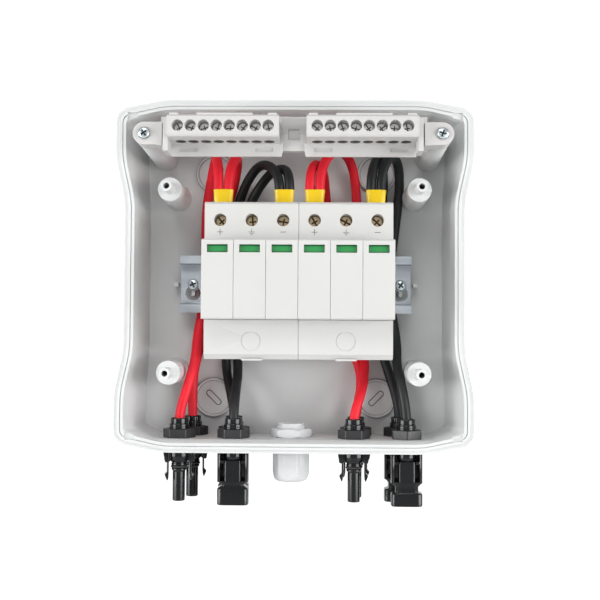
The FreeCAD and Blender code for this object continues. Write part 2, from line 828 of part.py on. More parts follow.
def terminal_housing(label, side):
    """Moulded 8-way housing: screw holes in front, lead entries below, latch flange over the carrier."""
    body = new_body(label, (side * size.housing_place, ZERO, ZERO))
    half = size.housing_width / 2
    edge = size.edge
    seat = size.carrier_front + size.slide_gap
    front = size.housing_front
    section = [
        (out(seat), HOUSING_HIGH),
        (out(front - edge), HOUSING_HIGH),
        (out(front), HOUSING_HIGH - edge),
        (out(front), HOUSING_LOW + edge),
        (out(front - edge), HOUSING_LOW),
        (out(seat), HOUSING_LOW),
    ]
    pad(body, "housing_section", "YZ_Plane", (-half, half), [section])
    flange_low = HOUSING_LOW - size.flange_drop
    wing = half + size.flange_wing
    foot = wing - size.flange_slant
    shoulder = flange_low + size.flange_drop / 2
    pad(body, "flange", "XZ_Plane", (far(seat), far(size.flange_front)),
        [[(-foot, flange_low), (foot, flange_low), (wing, shoulder), (wing, HOUSING_LOW + edge),
          (-wing, HOUSING_LOW + edge), (-wing, shoulder)]])
    tab = sorted([side * half, side * (half + size.housing_tab)], key=number_of)
    pad(body, "housing_tab", "XZ_Plane", (far(seat + size.tab_setback), far(front - size.tab_setback)),
        [rectangle(tab[0], tab[1], flange_low, HOUSING_HIGH - edge / 2)])
    pad(body, "housing_top_ribs", "XZ_Plane", (far(size.bar_front), far(front - edge)),
        [rectangle(left * half, right * half, HOUSING_HIGH - edge, HOUSING_HIGH + edge)
         for left, right in ((-0.96, -0.8), (-0.47, 0.53), (0.8, 0.96))])
    places = pole_places()
    pocket(body, "bar_slot", "XZ_Plane", (far(seat), far(size.bar_front + size.fit_gap)),
           [rectangle(size.housing_wall - half, half - size.housing_wall, BAR_LOW - size.fit_gap,
                      BAR_HIGH + size.fit_gap)])
    pocket(body, "driver_holes", "XZ_Plane", (far(size.bar_front), far(front)),
           circles=[(x, HOUSING_MIDDLE, size.driver_hole_radius) for x in places])
    pocket(body, "lead_entries", "XY_Plane", (HOUSING_LOW - 1, BAR_LOW),
           circles=[(x, out(BAR_MIDDLE), size.entry_radius) for x in places])
    window_high = HOUSING_LOW - 2 * edge
    windows = [rectangle(x - size.latch_window / 2, x + size.latch_window / 2,
                         window_high - size.latch_window_height, window_high) for x in (-half * 0.7, half * 0.7)]
    pocket(body, "latch_windows", "XZ_Plane",
           (far(size.flange_front - size.latch_window_depth), far(size.flange_front)), windows)
    node(body, label)


def terminal_bars():
    """Brass bars in the housings, cross-drilled for leads and clamp screws, and their screws."""
    half = size.housing_width / 2 - size.housing_wall - size.fit_gap
    screws = []
    for word, side in (("left", -1), ("right", 1)):
        place = side * size.housing_place
        bar = block("bar_" + word, (place - half, out(size.bar_front), BAR_LOW),
                    (place + half, out(size.bar_front - size.bar_depth), BAR_HIGH))
        bores = []
        for x in pole_places():
            bores.append(rod("lead_bore", (place + x, out(BAR_MIDDLE), BAR_LOW - 1), size.bar_bore_radius,
                             BAR_HIGH - BAR_LOW - size.housing_wall))
            bores.append(rod("screw_bore", (place + x, out(BAR_MIDDLE), HOUSING_MIDDLE), SCREW_BORE,
                             size.bar_depth, "-y"))
            head = rod("bar_screw_head", (place + x, out(size.bar_front), HOUSING_MIDDLE),
                       size.bar_screw_radius, size.bar_screw_height, "-y")
            shank = rod("bar_screw_shank", (place + x, out(BAR_MIDDLE), HOUSING_MIDDLE),
                        size.screw_shank_radius, size.bar_depth / 2, "-y")
            screws.append(fuse("bar_screw", [head, shank]))
        node(cut("terminal_bar", bar, bores), "terminal_bar_" + word)
    node(group("bar_screw_set", screws), "terminal_bar_screws")


SPD_HALF = size.spd_half_height
SPD_PLACES = (("left", size.spd_left), ("right", size.spd_right))
LIP_BACK = size.rail_top - size.rail_sheet
CLAMP_LOW = size.terminal_rise - size.clamp_height / 2
CLAMP_HIGH = size.terminal_rise + size.clamp_height / 2
CLAMP_FRONT = size.clamp_back + size.clamp_depth
BLADE_Z = size.blade_spacing / 2
POCKET_BACK = size.spd_floor - size.blade_reach - size.contact_sheet - 2 * size.slide_gap
STRIP_HEIGHT = size.clamp_back + size.clamp_wall


def poles():
    """X of the three poles of a surge protector, measured from its middle."""
    return [step * size.pole_width for step in (-1, 0, 1)]


def spd_base(label, place):
    """Moulded U-shaped base: rail notch behind, terminal arm above, latch arm below, floor between."""
    body = new_body(label, (place, ZERO, MIDDLE))
    half_rail = size.rail_width / 2
    gap = size.slide_gap
    hook = LIP_BACK - gap
    shoulder = out(size.spd_shoulder)
    back = out(size.spd_back)
    seat = out(size.rail_top)
    bevel = size.spd_bottom_bevel
    section = [
        (back, SPD_HALF),
        (out(size.spd_shoulder - size.spd_top_bevel), SPD_HALF),
        (shoulder, SPD_HALF - size.spd_top_bevel),
        (shoulder, size.spd_gap_half),
        (out(size.spd_floor), size.spd_gap_half),
        (out(size.spd_floor), -size.spd_gap_half),
        (shoulder, -size.spd_gap_half),
        (shoulder, bevel - SPD_HALF),
        (out(size.spd_shoulder - bevel), -SPD_HALF),
        (back, -SPD_HALF),
        (back, -(half_rail + size.notch_room)),
        (seat, -(half_rail + size.notch_room)),
        (seat, half_rail + gap),
        (out(hook), half_rail + gap),
        (out(hook), half_rail - size.latch_bite),
        (back, half_rail - size.latch_bite),
    ]
    half = 1.5 * size.pole_width - size.fit_gap
    pad(body, "base_section", "YZ_Plane", (-half, half), [section])
    room = size.fit_gap * 2
    cage = size.clamp_width / 2 + room
    pocket(body, "clamp_rooms", "XZ_Plane", (far(size.clamp_back - room), far(CLAMP_FRONT + size.screw_room)),
           [rectangle(x - cage, x + cage, CLAMP_LOW - room, CLAMP_HIGH + room) for x in poles()])
    pocket(body, "driver_holes", "XZ_Plane", (far(CLAMP_FRONT), far(size.spd_shoulder)),
           circles=[(x, size.terminal_rise, size.terminal_hole_radius) for x in poles()])
    entry = size.lead_entry_width / 2
    entry_low = out(size.lead_entry_height + size.lead_entry_depth / 2)
    entry_high = out(size.lead_entry_height - size.lead_entry_depth / 2)
    pocket(body, "lead_entries", "XY_Plane", (CLAMP_HIGH, SPD_HALF),
           [rectangle(x - entry, x + entry, entry_low, entry_high) for x in poles()])
    slot = size.blade_width / 2 + room
    deep = far(POCKET_BACK - room)
    clip = size.blade_thick / 2 + size.contact_sheet + room + size.fit_gap
    pocket(body, "blade_slots", "XZ_Plane", (deep, far(size.spd_floor)),
           [rectangle(x - slot, x + slot, z - clip, z + clip) for x in poles() for z in (-BLADE_Z, BLADE_Z)])
    low_run = deep, far(POCKET_BACK + size.contact_sheet + room)
    strip_top = CLAMP_LOW - size.strip_gap
    pocket(body, "strip_runs", "XZ_Plane", low_run,
           [rectangle(x - slot, x + slot, BLADE_Z, strip_top + room) for x in poles()])
    pocket(body, "strip_rises", "XZ_Plane", (deep, far(STRIP_HEIGHT + size.contact_sheet + room)),
           [rectangle(x - slot, x + slot, strip_top - size.contact_sheet - room, strip_top + room)
            for x in poles()])
    pocket(body, "strip_tops", "XZ_Plane", (far(STRIP_HEIGHT - room), far(STRIP_HEIGHT + size.contact_sheet + room)),
           [rectangle(x - slot, x + slot, strip_top - size.contact_sheet, CLAMP_LOW) for x in poles()])
    latch = size.latch_width / 2 + gap
    pocket(body, "latch_guide", "XZ_Plane", (far(hook - size.latch_thick - gap), far(LIP_BACK)),
           [rectangle(-latch, latch, -SPD_HALF, -half_rail)])
    ring = size.ring_radius
    ring_z = -size.terminal_rise
    pocket(body, "ring_mark", "XZ_Plane", (far(size.spd_shoulder - size.mark_depth / 2), far(size.spd_shoulder)),
           circles=[(ZERO, ring_z, ring), (ZERO, ring_z, ring - size.mark_line)])
    node(body, label)


def spd_terminals():
    """Clamp cages, their screws, and the contact strips with a clip for each module blade."""
    cages = []
    screws = []
    contacts = []
    for _, place in SPD_PLACES:
        for offset in poles():
            x = place + offset
            cages.append(clamp_cage(x))
            screws.append(clamp_screw(x))
            contacts.append(top_contact(x))
            contacts.append(blade_clip(x, MIDDLE - BLADE_Z))
    node(group("clamp_set", cages), "spd_clamps")
    node(group("clamp_screw_set", screws), "spd_screws")
    node(group("contact_set", contacts), "spd_contacts")


def clamp_cage(x):
    """Steel cage that the lead and the contact strip pass through, with its screw hole in front."""
    half = size.clamp_width / 2
    wall = size.clamp_wall
    solid = block("cage", (x - half, out(CLAMP_FRONT), MIDDLE + CLAMP_LOW),
                  (x + half, out(size.clamp_back), MIDDLE + CLAMP_HIGH))
    window = block("cage_window", (x - half + wall, out(CLAMP_FRONT - wall), MIDDLE + CLAMP_LOW - 1),
                   (x + half - wall, out(size.clamp_back + wall), MIDDLE + CLAMP_HIGH + 1))
    hole = rod("cage_hole", (x, out(CLAMP_FRONT - 2 * wall), MIDDLE + size.terminal_rise),
               size.clamp_screw_radius + size.fit_gap, 3 * wall, "-y")
    return cut("clamp_cage", solid, [window, hole])


def clamp_screw(x):
    """Terminal screw: head outside the cage, tip on the lead's sleeve."""
    tip = size.lead_entry_height + size.ferrule_sleeve_radius + size.fit_gap
    z = MIDDLE + size.terminal_rise
    start = CLAMP_FRONT + size.screw_stand
    shank = rod("clamp_screw_shank", (x, out(tip), z), size.clamp_screw_radius, start - tip, "-y")
    head = rod("clamp_screw_head", (x, out(start), z), size.terminal_screw_radius, size.terminal_screw_height, "-y")
    return fuse("clamp_screw", [shank, head])


def blade_clip(x, z):
    """Spring clip of two leaves and a web that grips a module blade."""
    half = size.blade_width / 2
    inner = size.blade_thick / 2 + size.fit_gap
    outer = inner + size.contact_sheet
    top = out(size.spd_floor - size.slide_gap)
    bottom = out(POCKET_BACK)
    solid = block("clip", (x - half, top, z - outer), (x + half, bottom, z + outer))
    gap = block("clip_gap", (x - half - 1, top - 1, z - inner),
                (x + half + 1, out(POCKET_BACK + size.contact_sheet), z + inner))
    return cut("blade_clip", solid, [gap])


def top_contact(x):
    """Blade clip joined to the clamp cage by a bent strip."""
    half = size.blade_width / 2
    sheet = size.contact_sheet
    strip_top = MIDDLE + CLAMP_LOW - size.strip_gap
    low = MIDDLE + BLADE_Z + size.blade_thick / 2 + size.fit_gap
    run = block("strip_run", (x - half, out(POCKET_BACK + sheet), low), (x + half, out(POCKET_BACK), strip_top))
    rise = block("strip_rise", (x - half, out(STRIP_HEIGHT + sheet), strip_top - sheet),
                 (x + half, out(POCKET_BACK), strip_top))
    tongue = block("strip_tongue", (x - half, out(STRIP_HEIGHT + sheet), strip_top - sheet),
                   (x + half, out(STRIP_HEIGHT), MIDDLE + CLAMP_HIGH))
    return fuse("top_contact", [blade_clip(x, MIDDLE + BLADE_Z), run, rise, tongue])


MODULE_HALF = size.spd_gap_half - size.module_gap
MODULE_BACK = size.spd_floor + size.slide_gap
WINDOW_Z = MODULE_HALF - size.window_drop
FLAG_BACK = size.module_front - size.window_depth - 2 * size.slide_gap - size.flag_thick


def surge_module(number, x):
    """Plug-in module: bevelled block with a status window, the flag's slot behind it and two blade slots."""
    label = f"surge_module_{number}"
    body = new_body(label, (x, ZERO, MIDDLE))
    half = size.pole_width / 2 - size.fit_gap
    bevel = size.module_bevel
    front = out(size.module_front)
    back = out(MODULE_BACK)
    edge = out(size.module_front - bevel)
    section = [(back, MODULE_HALF), (edge, MODULE_HALF), (front, MODULE_HALF - bevel),
               (front, bevel - MODULE_HALF), (edge, -MODULE_HALF), (back, -MODULE_HALF)]
    pad(body, "module_section", "YZ_Plane", (-half, half), [section])
    wide = size.window_width / 2
    tall = size.window_height / 2
    lap = size.flag_overlap + size.slide_gap
    flag_room = far(FLAG_BACK - size.slide_gap), far(size.module_front - size.window_depth)
    pocket(body, "window", "XZ_Plane", (flag_room[0], far(size.module_front)),
           [rectangle(-wide, wide, WINDOW_Z - tall, WINDOW_Z + tall)])
    pocket(body, "flag_room", "XZ_Plane", flag_room,
           [rectangle(-wide - lap, wide + lap, WINDOW_Z - tall - lap - size.flag_travel, WINDOW_Z + tall + lap)])
    slot = size.blade_width / 2 + size.fit_gap
    thin = size.blade_thick / 2 + size.fit_gap
    pocket(body, "blade_slots", "XZ_Plane", (far(MODULE_BACK), far(MODULE_BACK + size.blade_root)),
           [rectangle(-slot, slot, z - thin, z + thin) for z in (-BLADE_Z, BLADE_Z)])
    node(body, label)


def module_blades(number, x):
    """The two flat blades that stand out of a module's back."""
    half = size.blade_width / 2
    thin = size.blade_thick / 2
    root = out(MODULE_BACK + size.blade_root)
    tip = out(size.spd_floor - size.blade_reach)
    blades = [block("blade", (x - half, root, MIDDLE + z - thin), (x + half, tip, MIDDLE + z + thin))
              for z in (-BLADE_Z, BLADE_Z)]
    node(group("blade_pair", blades), f"module_blades_{number}")


def status_flag(number, x):
    """Flag plate behind the window, which drops to bare the red ground behind it."""
    wide = size.window_width / 2 + size.flag_overlap
    tall = size.window_height / 2 + size.flag_overlap
    middle = MIDDLE + WINDOW_Z
    plate = block("flag", (x - wide, out(FLAG_BACK + size.flag_thick), middle - tall),
                  (x + wide, out(FLAG_BACK), middle + tall))
    node(plate, f"status_flag_{number}")


def rail_latch(label, place):
    """Sliding latch under the base: its nose sits behind the rail's lower lip, its tail shows below."""
    front = LIP_BACK - size.slide_gap
    back = out(front - size.latch_thick)
    half = size.latch_width / 2
    nose = MIDDLE - size.rail_width / 2 + size.latch_bite
    tail = MIDDLE - SPD_HALF - size.latch_tail
    plate = block("latch_plate", (place - half, out(front), tail), (place + half, back, nose))
    slot_low = tail + size.latch_slot / 2
    slot = block("latch_slot", (place - half / 2, out(front + 1), slot_low),
                 (place + half / 2, out(front - size.latch_thick - 1), slot_low + size.latch_slot))
    node(cut("latch", plate, [slot]), label)


LEAD_BORE = size.lead_radius + size.lead_gap
COLLAR_TOP = -(size.wall + size.gasket_thick)
COLLAR_BOTTOM = COLLAR_TOP - size.collar_length


def connector_top():
    """Outline corners shared by both kinds of connector, from the lead seat to the collar's foot."""
    return [
        (ZERO, size.lead_seat),
        (LEAD_BORE, size.lead_seat),
        (LEAD_BORE, size.tail_height),
        (size.tail_radius, size.tail_height),
        (size.tail_radius, size.thread_height),
        (size.thread_radius, size.thread_height),
        (size.thread_radius, COLLAR_TOP),
        (size.collar_radius, COLLAR_TOP),
        (size.collar_radius, COLLAR_BOTTOM + 1),
        (size.collar_radius - 1, COLLAR_BOTTOM),
    ]


def plug_connector(label, x, height):
    """Panel plug: threaded tail, collar, round nose with a ring groove, and two barbed latch fingers."""
    body = new_body(label, (x, out(height), FLOOR))
    tip = COLLAR_TOP - size.plug_nose_length
    bore = size.sleeve_radius + size.fit_gap
    bore_end = tip + size.sleeve_depth
    turned(body, "plug_turning", connector_top() + [
        (size.plug_nose_radius, COLLAR_BOTTOM),
        (size.plug_nose_radius, tip + 1),
        (size.plug_nose_radius - 0.6, tip),
        (bore, tip),
        (bore, bore_end),
        (ZERO, bore_end),
    ])
    root = COLLAR_BOTTOM + 1
    low = COLLAR_BOTTOM - size.finger_length + size.collar_length
    near = size.finger_reach - size.finger_thick / 2
    wide = size.finger_reach + size.finger_thick / 2
    for word, side in (("left", -1), ("right", 1)):
        finger = [(side * near, root), (side * (wide - 1), root), (side * wide, COLLAR_BOTTOM - 2),
                  (side * wide, low + 3.5), (side * (wide + size.barb), low + 2.5), (side * wide, low),
                  (side * near, low)]
        pad(body, "finger_" + word, "XZ_Plane", (-size.finger_width / 2, size.finger_width / 2), [finger])
    node(body, label)


def socket_connector(label, x, height):
    """Panel socket: threaded tail, collar, round core with a deep bore, and two winged latch cheeks."""
    body = new_body(label, (x, out(height), FLOOR))
    tip = COLLAR_TOP - size.socket_length
    bore_end = tip + size.socket_bore_depth
    turned(body, "socket_turning", connector_top() + [
        (size.socket_core_radius, COLLAR_BOTTOM),
        (size.socket_core_radius, tip + 1),
        (size.socket_core_radius - 0.6, tip),
        (size.socket_bore_radius, tip),
        (size.socket_bore_radius, bore_end),
        (size.pin_radius + size.fit_gap, bore_end),
        (size.pin_radius + size.fit_gap, bore_end + size.pin_root),
        (ZERO, bore_end + size.pin_root),
    ])
    wing = size.socket_wing
    inner = size.socket_core_radius - 1
    half = size.socket_wing_depth / 2
    notch_high = COLLAR_BOTTOM - size.notch_start
    notch_low = notch_high - size.notch_length
    for word, side in (("left", -1), ("right", 1)):
        cheek = [(side * inner, COLLAR_BOTTOM + 1), (side * wing, COLLAR_BOTTOM + 1),
                 (side * wing, notch_high), (side * (inner + 1.2), notch_low), (side * wing, notch_low),
                 (side * wing, tip + 2), (side * (wing - 1), tip), (side * inner, tip)]
        pad(body, "cheek_" + word, "XZ_Plane", (-half, half), [cheek])
    node(body, label)


def connector_fittings():
    """Nut, gasket and contact of each connector, and the seal ring of each plug."""
    nuts = []
    gaskets = []
    contacts = []
    rings = []
    bore = size.thread_radius + size.thread_gap
    for kind, _, x, height in connector_places():
        y = out(height)
        nut = hexagon("nut", (x, y, FLOOR), size.nut_flats, size.nut_thick)
        nuts.append(cut("connector_nut", nut, [rod("nut_bore", (x, y, FLOOR - 1), bore, size.nut_thick + 2)]))
        gasket = rod("gasket", (x, y, FLOOR + COLLAR_TOP), size.gasket_radius, size.gasket_thick)
        gaskets.append(cut("connector_gasket", gasket,
                           [rod("gasket_bore", (x, y, FLOOR + COLLAR_TOP - 1), bore, size.gasket_thick + 2)]))
        if kind == "plug":
            tip = FLOOR + COLLAR_TOP - size.plug_nose_length
            sleeve = rod("sleeve", (x, y, tip + size.fit_gap), size.sleeve_radius, size.sleeve_depth - size.fit_gap)
            hollow = rod("sleeve_bore", (x, y, tip - 1), size.pin_radius + size.fit_gap, size.sleeve_depth - 1)
            contacts.append(cut("plug_contact", sleeve, [hollow]))
            rings.append(seal_ring(x, y, FLOOR + COLLAR_BOTTOM - size.seal_ring_thick - size.slide_gap))
        else:
            tip = FLOOR + COLLAR_TOP - size.socket_length
            contacts.append(rod("socket_contact", (x, y, tip + size.pin_setback), size.pin_radius,
                                size.socket_bore_depth + size.pin_root - size.pin_setback))
    node(group("nut_set", nuts), "connector_nuts")
    node(group("gasket_set", gaskets), "connector_gaskets")
    node(group("contact_group", contacts), "connector_contacts")
    node(group("ring_set", rings), "plug_seal_rings")


def seal_ring(x, y, z):
    """Rubber ring round a plug's nose, against the collar."""
    ring = doc.addObject("Part::Torus", "seal_ring")
    thick = size.seal_ring_thick / 2
    return bind(ring, Radius1=size.plug_nose_radius + thick + size.fit_gap, Radius2=thick,
                place=(x, y, z + thick))


def gland():
    """Cable gland through the floor: body, inside locknut, outside cap with its seal."""
    x = size.gland_place
    y = out(GLAND_ROW)
    thread = size.gland_thread_radius
    bore = size.gland_bore_radius
    flange_top = FLOOR_OUTSIDE
    flange_low = flange_top - size.gland_flange
    stub_low = flange_low - size.gland_stub
    solid = fuse("gland_solid", [
        rod("gland_thread", (x, y, stub_low), thread, FLOOR + size.gland_thread_height - stub_low),
        hexagon("gland_hex", (x, y, flange_low), size.gland_flats, size.gland_flange),
    ])
    height = FLOOR + size.gland_thread_height - stub_low
    node(cut("gland", solid, [rod("gland_through", (x, y, stub_low - 1), bore, height + 2)]), "gland_body")
    nut = hexagon("locknut", (x, y, FLOOR), size.locknut_flats, size.locknut_thick)
    node(cut("gland_nut", nut, [rod("locknut_bore", (x, y, FLOOR - 1), thread + size.thread_gap,
                                    size.locknut_thick + 2)]), "gland_locknut")
    cap = new_body("cap", (x, y, flange_low - size.slide_gap))
    corner = size.gland_flats / math.sqrt(3)
    inside = thread + size.slide_gap
    depth = size.gland_stub + size.slide_gap
    length = size.cap_length
    mouth = size.cap_mouth_radius
    room = size.seal_outer + size.slide_gap
    dome = size.cap_dome
    turned(cap, "cap_turning", [
        (inside, ZERO), (corner - 1, ZERO), (corner, -1), (corner, dome - length), (corner - 2, dome / 2 - length),
        (mouth + size.cap_mouth_wall, -length), (mouth, -length), (mouth, 1 - length), (room, dome / 2 - length),
        (room, -depth), (inside, -depth),
    ])
    flats = hexagon("cap_flats", (x, y, flange_low - size.slide_gap - length), size.gland_flats, length)
    faceted = doc.addObject("Part::MultiCommon", "faceted_cap")
    faceted.Shapes = [cap, flats]
    node(faceted, "gland_cap")
    seal = new_body("seal", (x, y, stub_low - size.slide_gap))
    seal_length = size.seal_length
    turned(seal, "seal_turning", [
        (size.seal_bore_radius, ZERO), (size.seal_outer, ZERO), (size.seal_outer, -seal_length * 0.5),
        (size.seal_outer - 1.5, -seal_length), (size.seal_bore_radius, -seal_length),
    ])
    node(seal, "gland_seal")


# Routes of the leads as (x, height over the inner back face, z), from the ferrule to just above the connector
ROUTES = {
    "lead_red_1": [
        (-44.95, 40, 51), (-44.95, 40, 60), (-46.8, 31, 72.5), (-50, 14, 71.5), (-53.5, 6.5, 58), (-56, 4, 43),
        (-56.3, 3.6, 22), (-55.9, 3.6, -2), (-57.8, 3.9, -19), (-60.1, 12, -36), (-60, 22, -51.5), (-63.9, 27.8, -66)],
    "lead_red_2": [
        (-39.05, 40, 51), (-39.05, 40, 60), (-36, 32, 72), (-35, 18, 72), (-38.5, 9, 56), (-44.5, 4, 42.5),
        (-48.4, 3.6, 25), (-49.5, 3.6, 2), (-51.4, 3.6, -21), (-56.6, 3.8, -38), (-60.5, 7.5, -53),
        (-62.3, 10.3, -66)],
    "lead_black_1": [
        (-8.95, 40, 51), (-8.95, 40, 58), (-14, 32, 66.5), (-22, 20, 69.5), (-29.5, 11, 61.5), (-35, 5.2, 50),
        (-38.8, 3.8, 35), (-41.8, 3.6, 12), (-43, 3.6, -15), (-43.3, 3.6, -40), (-42.6, 4.4, -56),
        (-38.6, 8.8, -67.5)],
    "lead_black_2": [
        (-3.05, 40, 51), (-3.05, 40, 59), (-6.4, 31.5, 65.5), (-15, 18.5, 65), (-23, 9, 56.5), (-29.2, 5, 46),
        (-32.8, 3.6, 31), (-35.7, 3.6, 9), (-36.9, 3.6, -16), (-36.9, 3.6, -46), (-36.6, 9.8, -59),
        (-36.2, 21.4, -67)],
    "lead_red_3": [
        (9.05, 40, 51), (9.05, 40, 60), (11.8, 33, 68.5), (17, 18, 66.5), (18.3, 8, 55), (19.5, 4, 42),
        (22.5, 3.6, 22), (27.5, 3.6, 0), (32.3, 3.6, -22), (35.6, 3.6, -42), (37.2, 5.2, -56), (37.6, 9.3, -67.5)],
    "lead_red_4": [
        (14.95, 40, 51), (14.95, 40, 61), (20, 33.5, 73.5), (28, 22, 78), (34.5, 11, 72), (37.4, 5.5, 58),
        (38, 3.8, 42), (38.6, 3.6, 22), (40, 3.6, 0), (41.9, 3.6, -22), (42.8, 3.6, -46), (42.2, 11, -58),
        (38.8, 23.5, -66)],
    "lead_black_3": [
        (45.05, 40, 51), (45.05, 40, 61), (49.5, 31, 73), (53, 16, 73), (54.5, 7, 61), (53.8, 4, 45),
        (52, 3.6, 25), (51.2, 3.6, 1), (52.3, 3.6, -22), (55.5, 3.6, -43), (60, 7.4, -57.5), (63.2, 10.1, -68)],
    "lead_black_4": [
        (50.95, 40, 51), (50.95, 40, 61), (56.5, 32, 73), (61.5, 19, 71.5), (62.6, 10, 58), (62.2, 4.6, 45),
        (61.4, 3.6, 28), (58.2, 3.6, 8), (57.5, 3.6, -9), (60.7, 4, -25), (62.8, 9, -40), (61.9, 18, -53),
        (64.6, 26.6, -65.5)],
}
LEAD_ENDS = {
    "lead_red_1": ("plug", 1), "lead_red_2": ("plug", 2), "lead_red_3": ("plug", 4), "lead_red_4": ("plug", 3),
    "lead_black_1": ("socket", 2), "lead_black_2": ("socket", 1), "lead_black_3": ("socket", 4),
    "lead_black_4": ("socket", 3),
}
# Z of the lead seats that the routes were chosen for
ROUTE_SEAT = -87.7


def route_points(label):
    """Points of a lead's route: the chosen ones, low ones following the floor, then straight down to its seat."""
    seat = (FLOOR + size.lead_seat).number
    wall = size.wall.number
    points = [Vector(x, -(wall + height), z if z > 0 else z * seat / ROUTE_SEAT) for x, height, z in ROUTES[label]]
    x, height = next((x, height) for kind, number, x, height in connector_places()
                     if (kind, number) == LEAD_ENDS[label])
    for z in (seat + size.lead_straight.number, seat):
        points.append(Vector(number_of(x), number_of(out(height)), z))
    return points


def tube_path(points):
    """Wire of straight runs joined by tangent arcs, and the radius of each arc."""
    runs = [(b - a).Length for a, b in zip(points, points[1:])]
    edges = []
    radii = []
    start = points[0]
    for index in range(1, len(points) - 1):
        here = points[index]
        back = (points[index - 1] - here).normalize()
        onward = (points[index + 1] - here).normalize()
        turn = math.pi - back.getAngle(onward)
        reach = 0.45 * min(runs[index - 1], runs[index])
        radius = reach / math.tan(turn / 2)
        middle = here + (back + onward).normalize() * (radius / math.cos(turn / 2) - radius)
        edges.append(Part.LineSegment(start, here + back * reach).toShape())
        edges.append(Part.Arc(here + back * reach, middle, here + onward * reach).toShape())
        start = here + onward * reach
        radii.append(radius)
    edges.append(Part.LineSegment(start, points[-1]).toShape())
    return Part.Wire(edges), radii


def leads():
    """The eight leads, each one tube along its route."""
    radius = size.lead_radius.number
    for label in ROUTES:
        points = route_points(label)
        path, radii = tube_path(points)
        ring = Part.Wire(Part.Circle(points[0], points[1] - points[0], radius).toShape())
        tube = path.makePipeShell([ring], True, False)
        expected = math.pi * radius ** 2 * path.Length
        print(f"{label}: length {path.Length:.1f} mm, smallest arc {min(radii):.1f} mm, "
              f"volume {tube.Volume / expected:.4f} of section times length")
        node(coded(label + "_tube", tube), label)


def ferrules():
    """Twin ferrules: a flat plastic collar over two leads, and the metal sleeve in the clamp."""
    pieces = []
    low = MIDDLE + SPD_HALF + size.slide_gap
    middle = out(size.lead_entry_height)
    for _, place in SPD_PLACES:
        for offset in (-size.pole_width, size.pole_width):
            x = place + offset
            half = size.ferrule_width / 2
            deep = size.ferrule_depth / 2
            collar = block("collar", (x - half, middle - deep, low), (x + half, middle + deep, size.ferrule_top))
            sleeve = rod("sleeve", (x, middle, low - size.ferrule_sleeve_length), size.ferrule_sleeve_radius,
                         size.ferrule_sleeve_length)
            pieces.append(fuse("ferrule", [collar, sleeve]))
    node(group("ferrule_set", pieces), "wire_ferrules")


def build():
    """Make every sub-part in turn."""
    enclosure()
    rail()
    rail_screws()
    carrier()
    for side, word in ((-1, "left"), (1, "right")):
        terminal_housing("terminal_housing_" + word, side)
    terminal_bars()
    for word, place in SPD_PLACES:
        spd_base("spd_base_" + word, place)
        rail_latch("rail_latch_" + word, place)
    spd_terminals()
    places = [place + offset for _, place in SPD_PLACES for offset in poles()]
    for number, x in enumerate(places, 1):
        surge_module(number, x)
        module_blades(number, x)
        status_flag(number, x)
    for kind, number, x, height in connector_places():
        make = plug_connector if kind == "plug" else socket_connector
        make(f"{kind}_connector_{number}", x, height)
    connector_fittings()
    gland()
    leads()
    ferrules()
    doc.recompute()


def check():
    """Stop if any object failed, or any sub-part is empty or broken."""
    for obj in doc.Objects:
        if "Invalid" in obj.State or "Error" in obj.State:
            raise SystemExit(f"{obj.Label} failed: {obj.State}")
    for obj in NODES:
        if obj.Shape.isNull() or not obj.Shape.isValid() or not obj.Shape.Solids:
            raise SystemExit(f"{obj.Label} has no sound shape")


build()
check()
os.makedirs("parts", exist_ok=True)
for part in NODES:
    part.Shape.exportStep(f"parts/{part.Label}.step")
print(f"{len(NODES)} sub-parts written")
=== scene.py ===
import math

import bmesh
import bpy
import numpy as np
from mathutils import Matrix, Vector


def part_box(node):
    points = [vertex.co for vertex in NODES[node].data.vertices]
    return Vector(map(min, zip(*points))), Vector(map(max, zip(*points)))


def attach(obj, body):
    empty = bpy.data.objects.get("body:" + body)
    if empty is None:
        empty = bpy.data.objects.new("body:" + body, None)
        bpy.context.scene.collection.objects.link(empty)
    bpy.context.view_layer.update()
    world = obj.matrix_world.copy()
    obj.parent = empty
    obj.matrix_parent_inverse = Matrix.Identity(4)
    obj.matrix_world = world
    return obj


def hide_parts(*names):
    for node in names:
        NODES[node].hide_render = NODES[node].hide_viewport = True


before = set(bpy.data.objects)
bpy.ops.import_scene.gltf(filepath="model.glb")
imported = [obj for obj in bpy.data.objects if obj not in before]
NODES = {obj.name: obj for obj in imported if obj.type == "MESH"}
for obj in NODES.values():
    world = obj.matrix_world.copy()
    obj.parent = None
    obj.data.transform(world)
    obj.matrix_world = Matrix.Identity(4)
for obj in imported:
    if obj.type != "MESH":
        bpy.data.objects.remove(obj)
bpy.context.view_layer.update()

MM = 0.001
WALL = 3.0
MODULES = range(1, 7)
CONNECTORS = range(1, 5)
SIDES = (-1, 1)


def corners(node):
    """Lowest and highest corner of a CAD node, in millimetres."""
    return [np.array(corner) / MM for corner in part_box(node)]


def middle(node):
    """Middle of a CAD node's box, in millimetres."""
    low, high = corners(node)
    return (low + high) / 2


# Places, in millimetres: the floor's two faces, the connectors, and their ends as heights over the floor.

FLOOR = corners("connector_nuts")[0][2]
UNDER = FLOOR - WALL
PLUGS = [middle(f"plug_connector_{number}")[:2] for number in CONNECTORS]
SOCKETS = [middle(f"socket_connector_{number}")[:2] for number in CONNECTORS]
PLUG_TIP = corners("plug_connector_1")[0][2] - FLOOR
SOCKET_TIP = corners("socket_connector_1")[0][2] - FLOOR
TAIL_TOP = corners("plug_connector_1")[1][2] - FLOOR

# Surfaces: every new piece is made of grids of points, in millimetres of the shared frame.


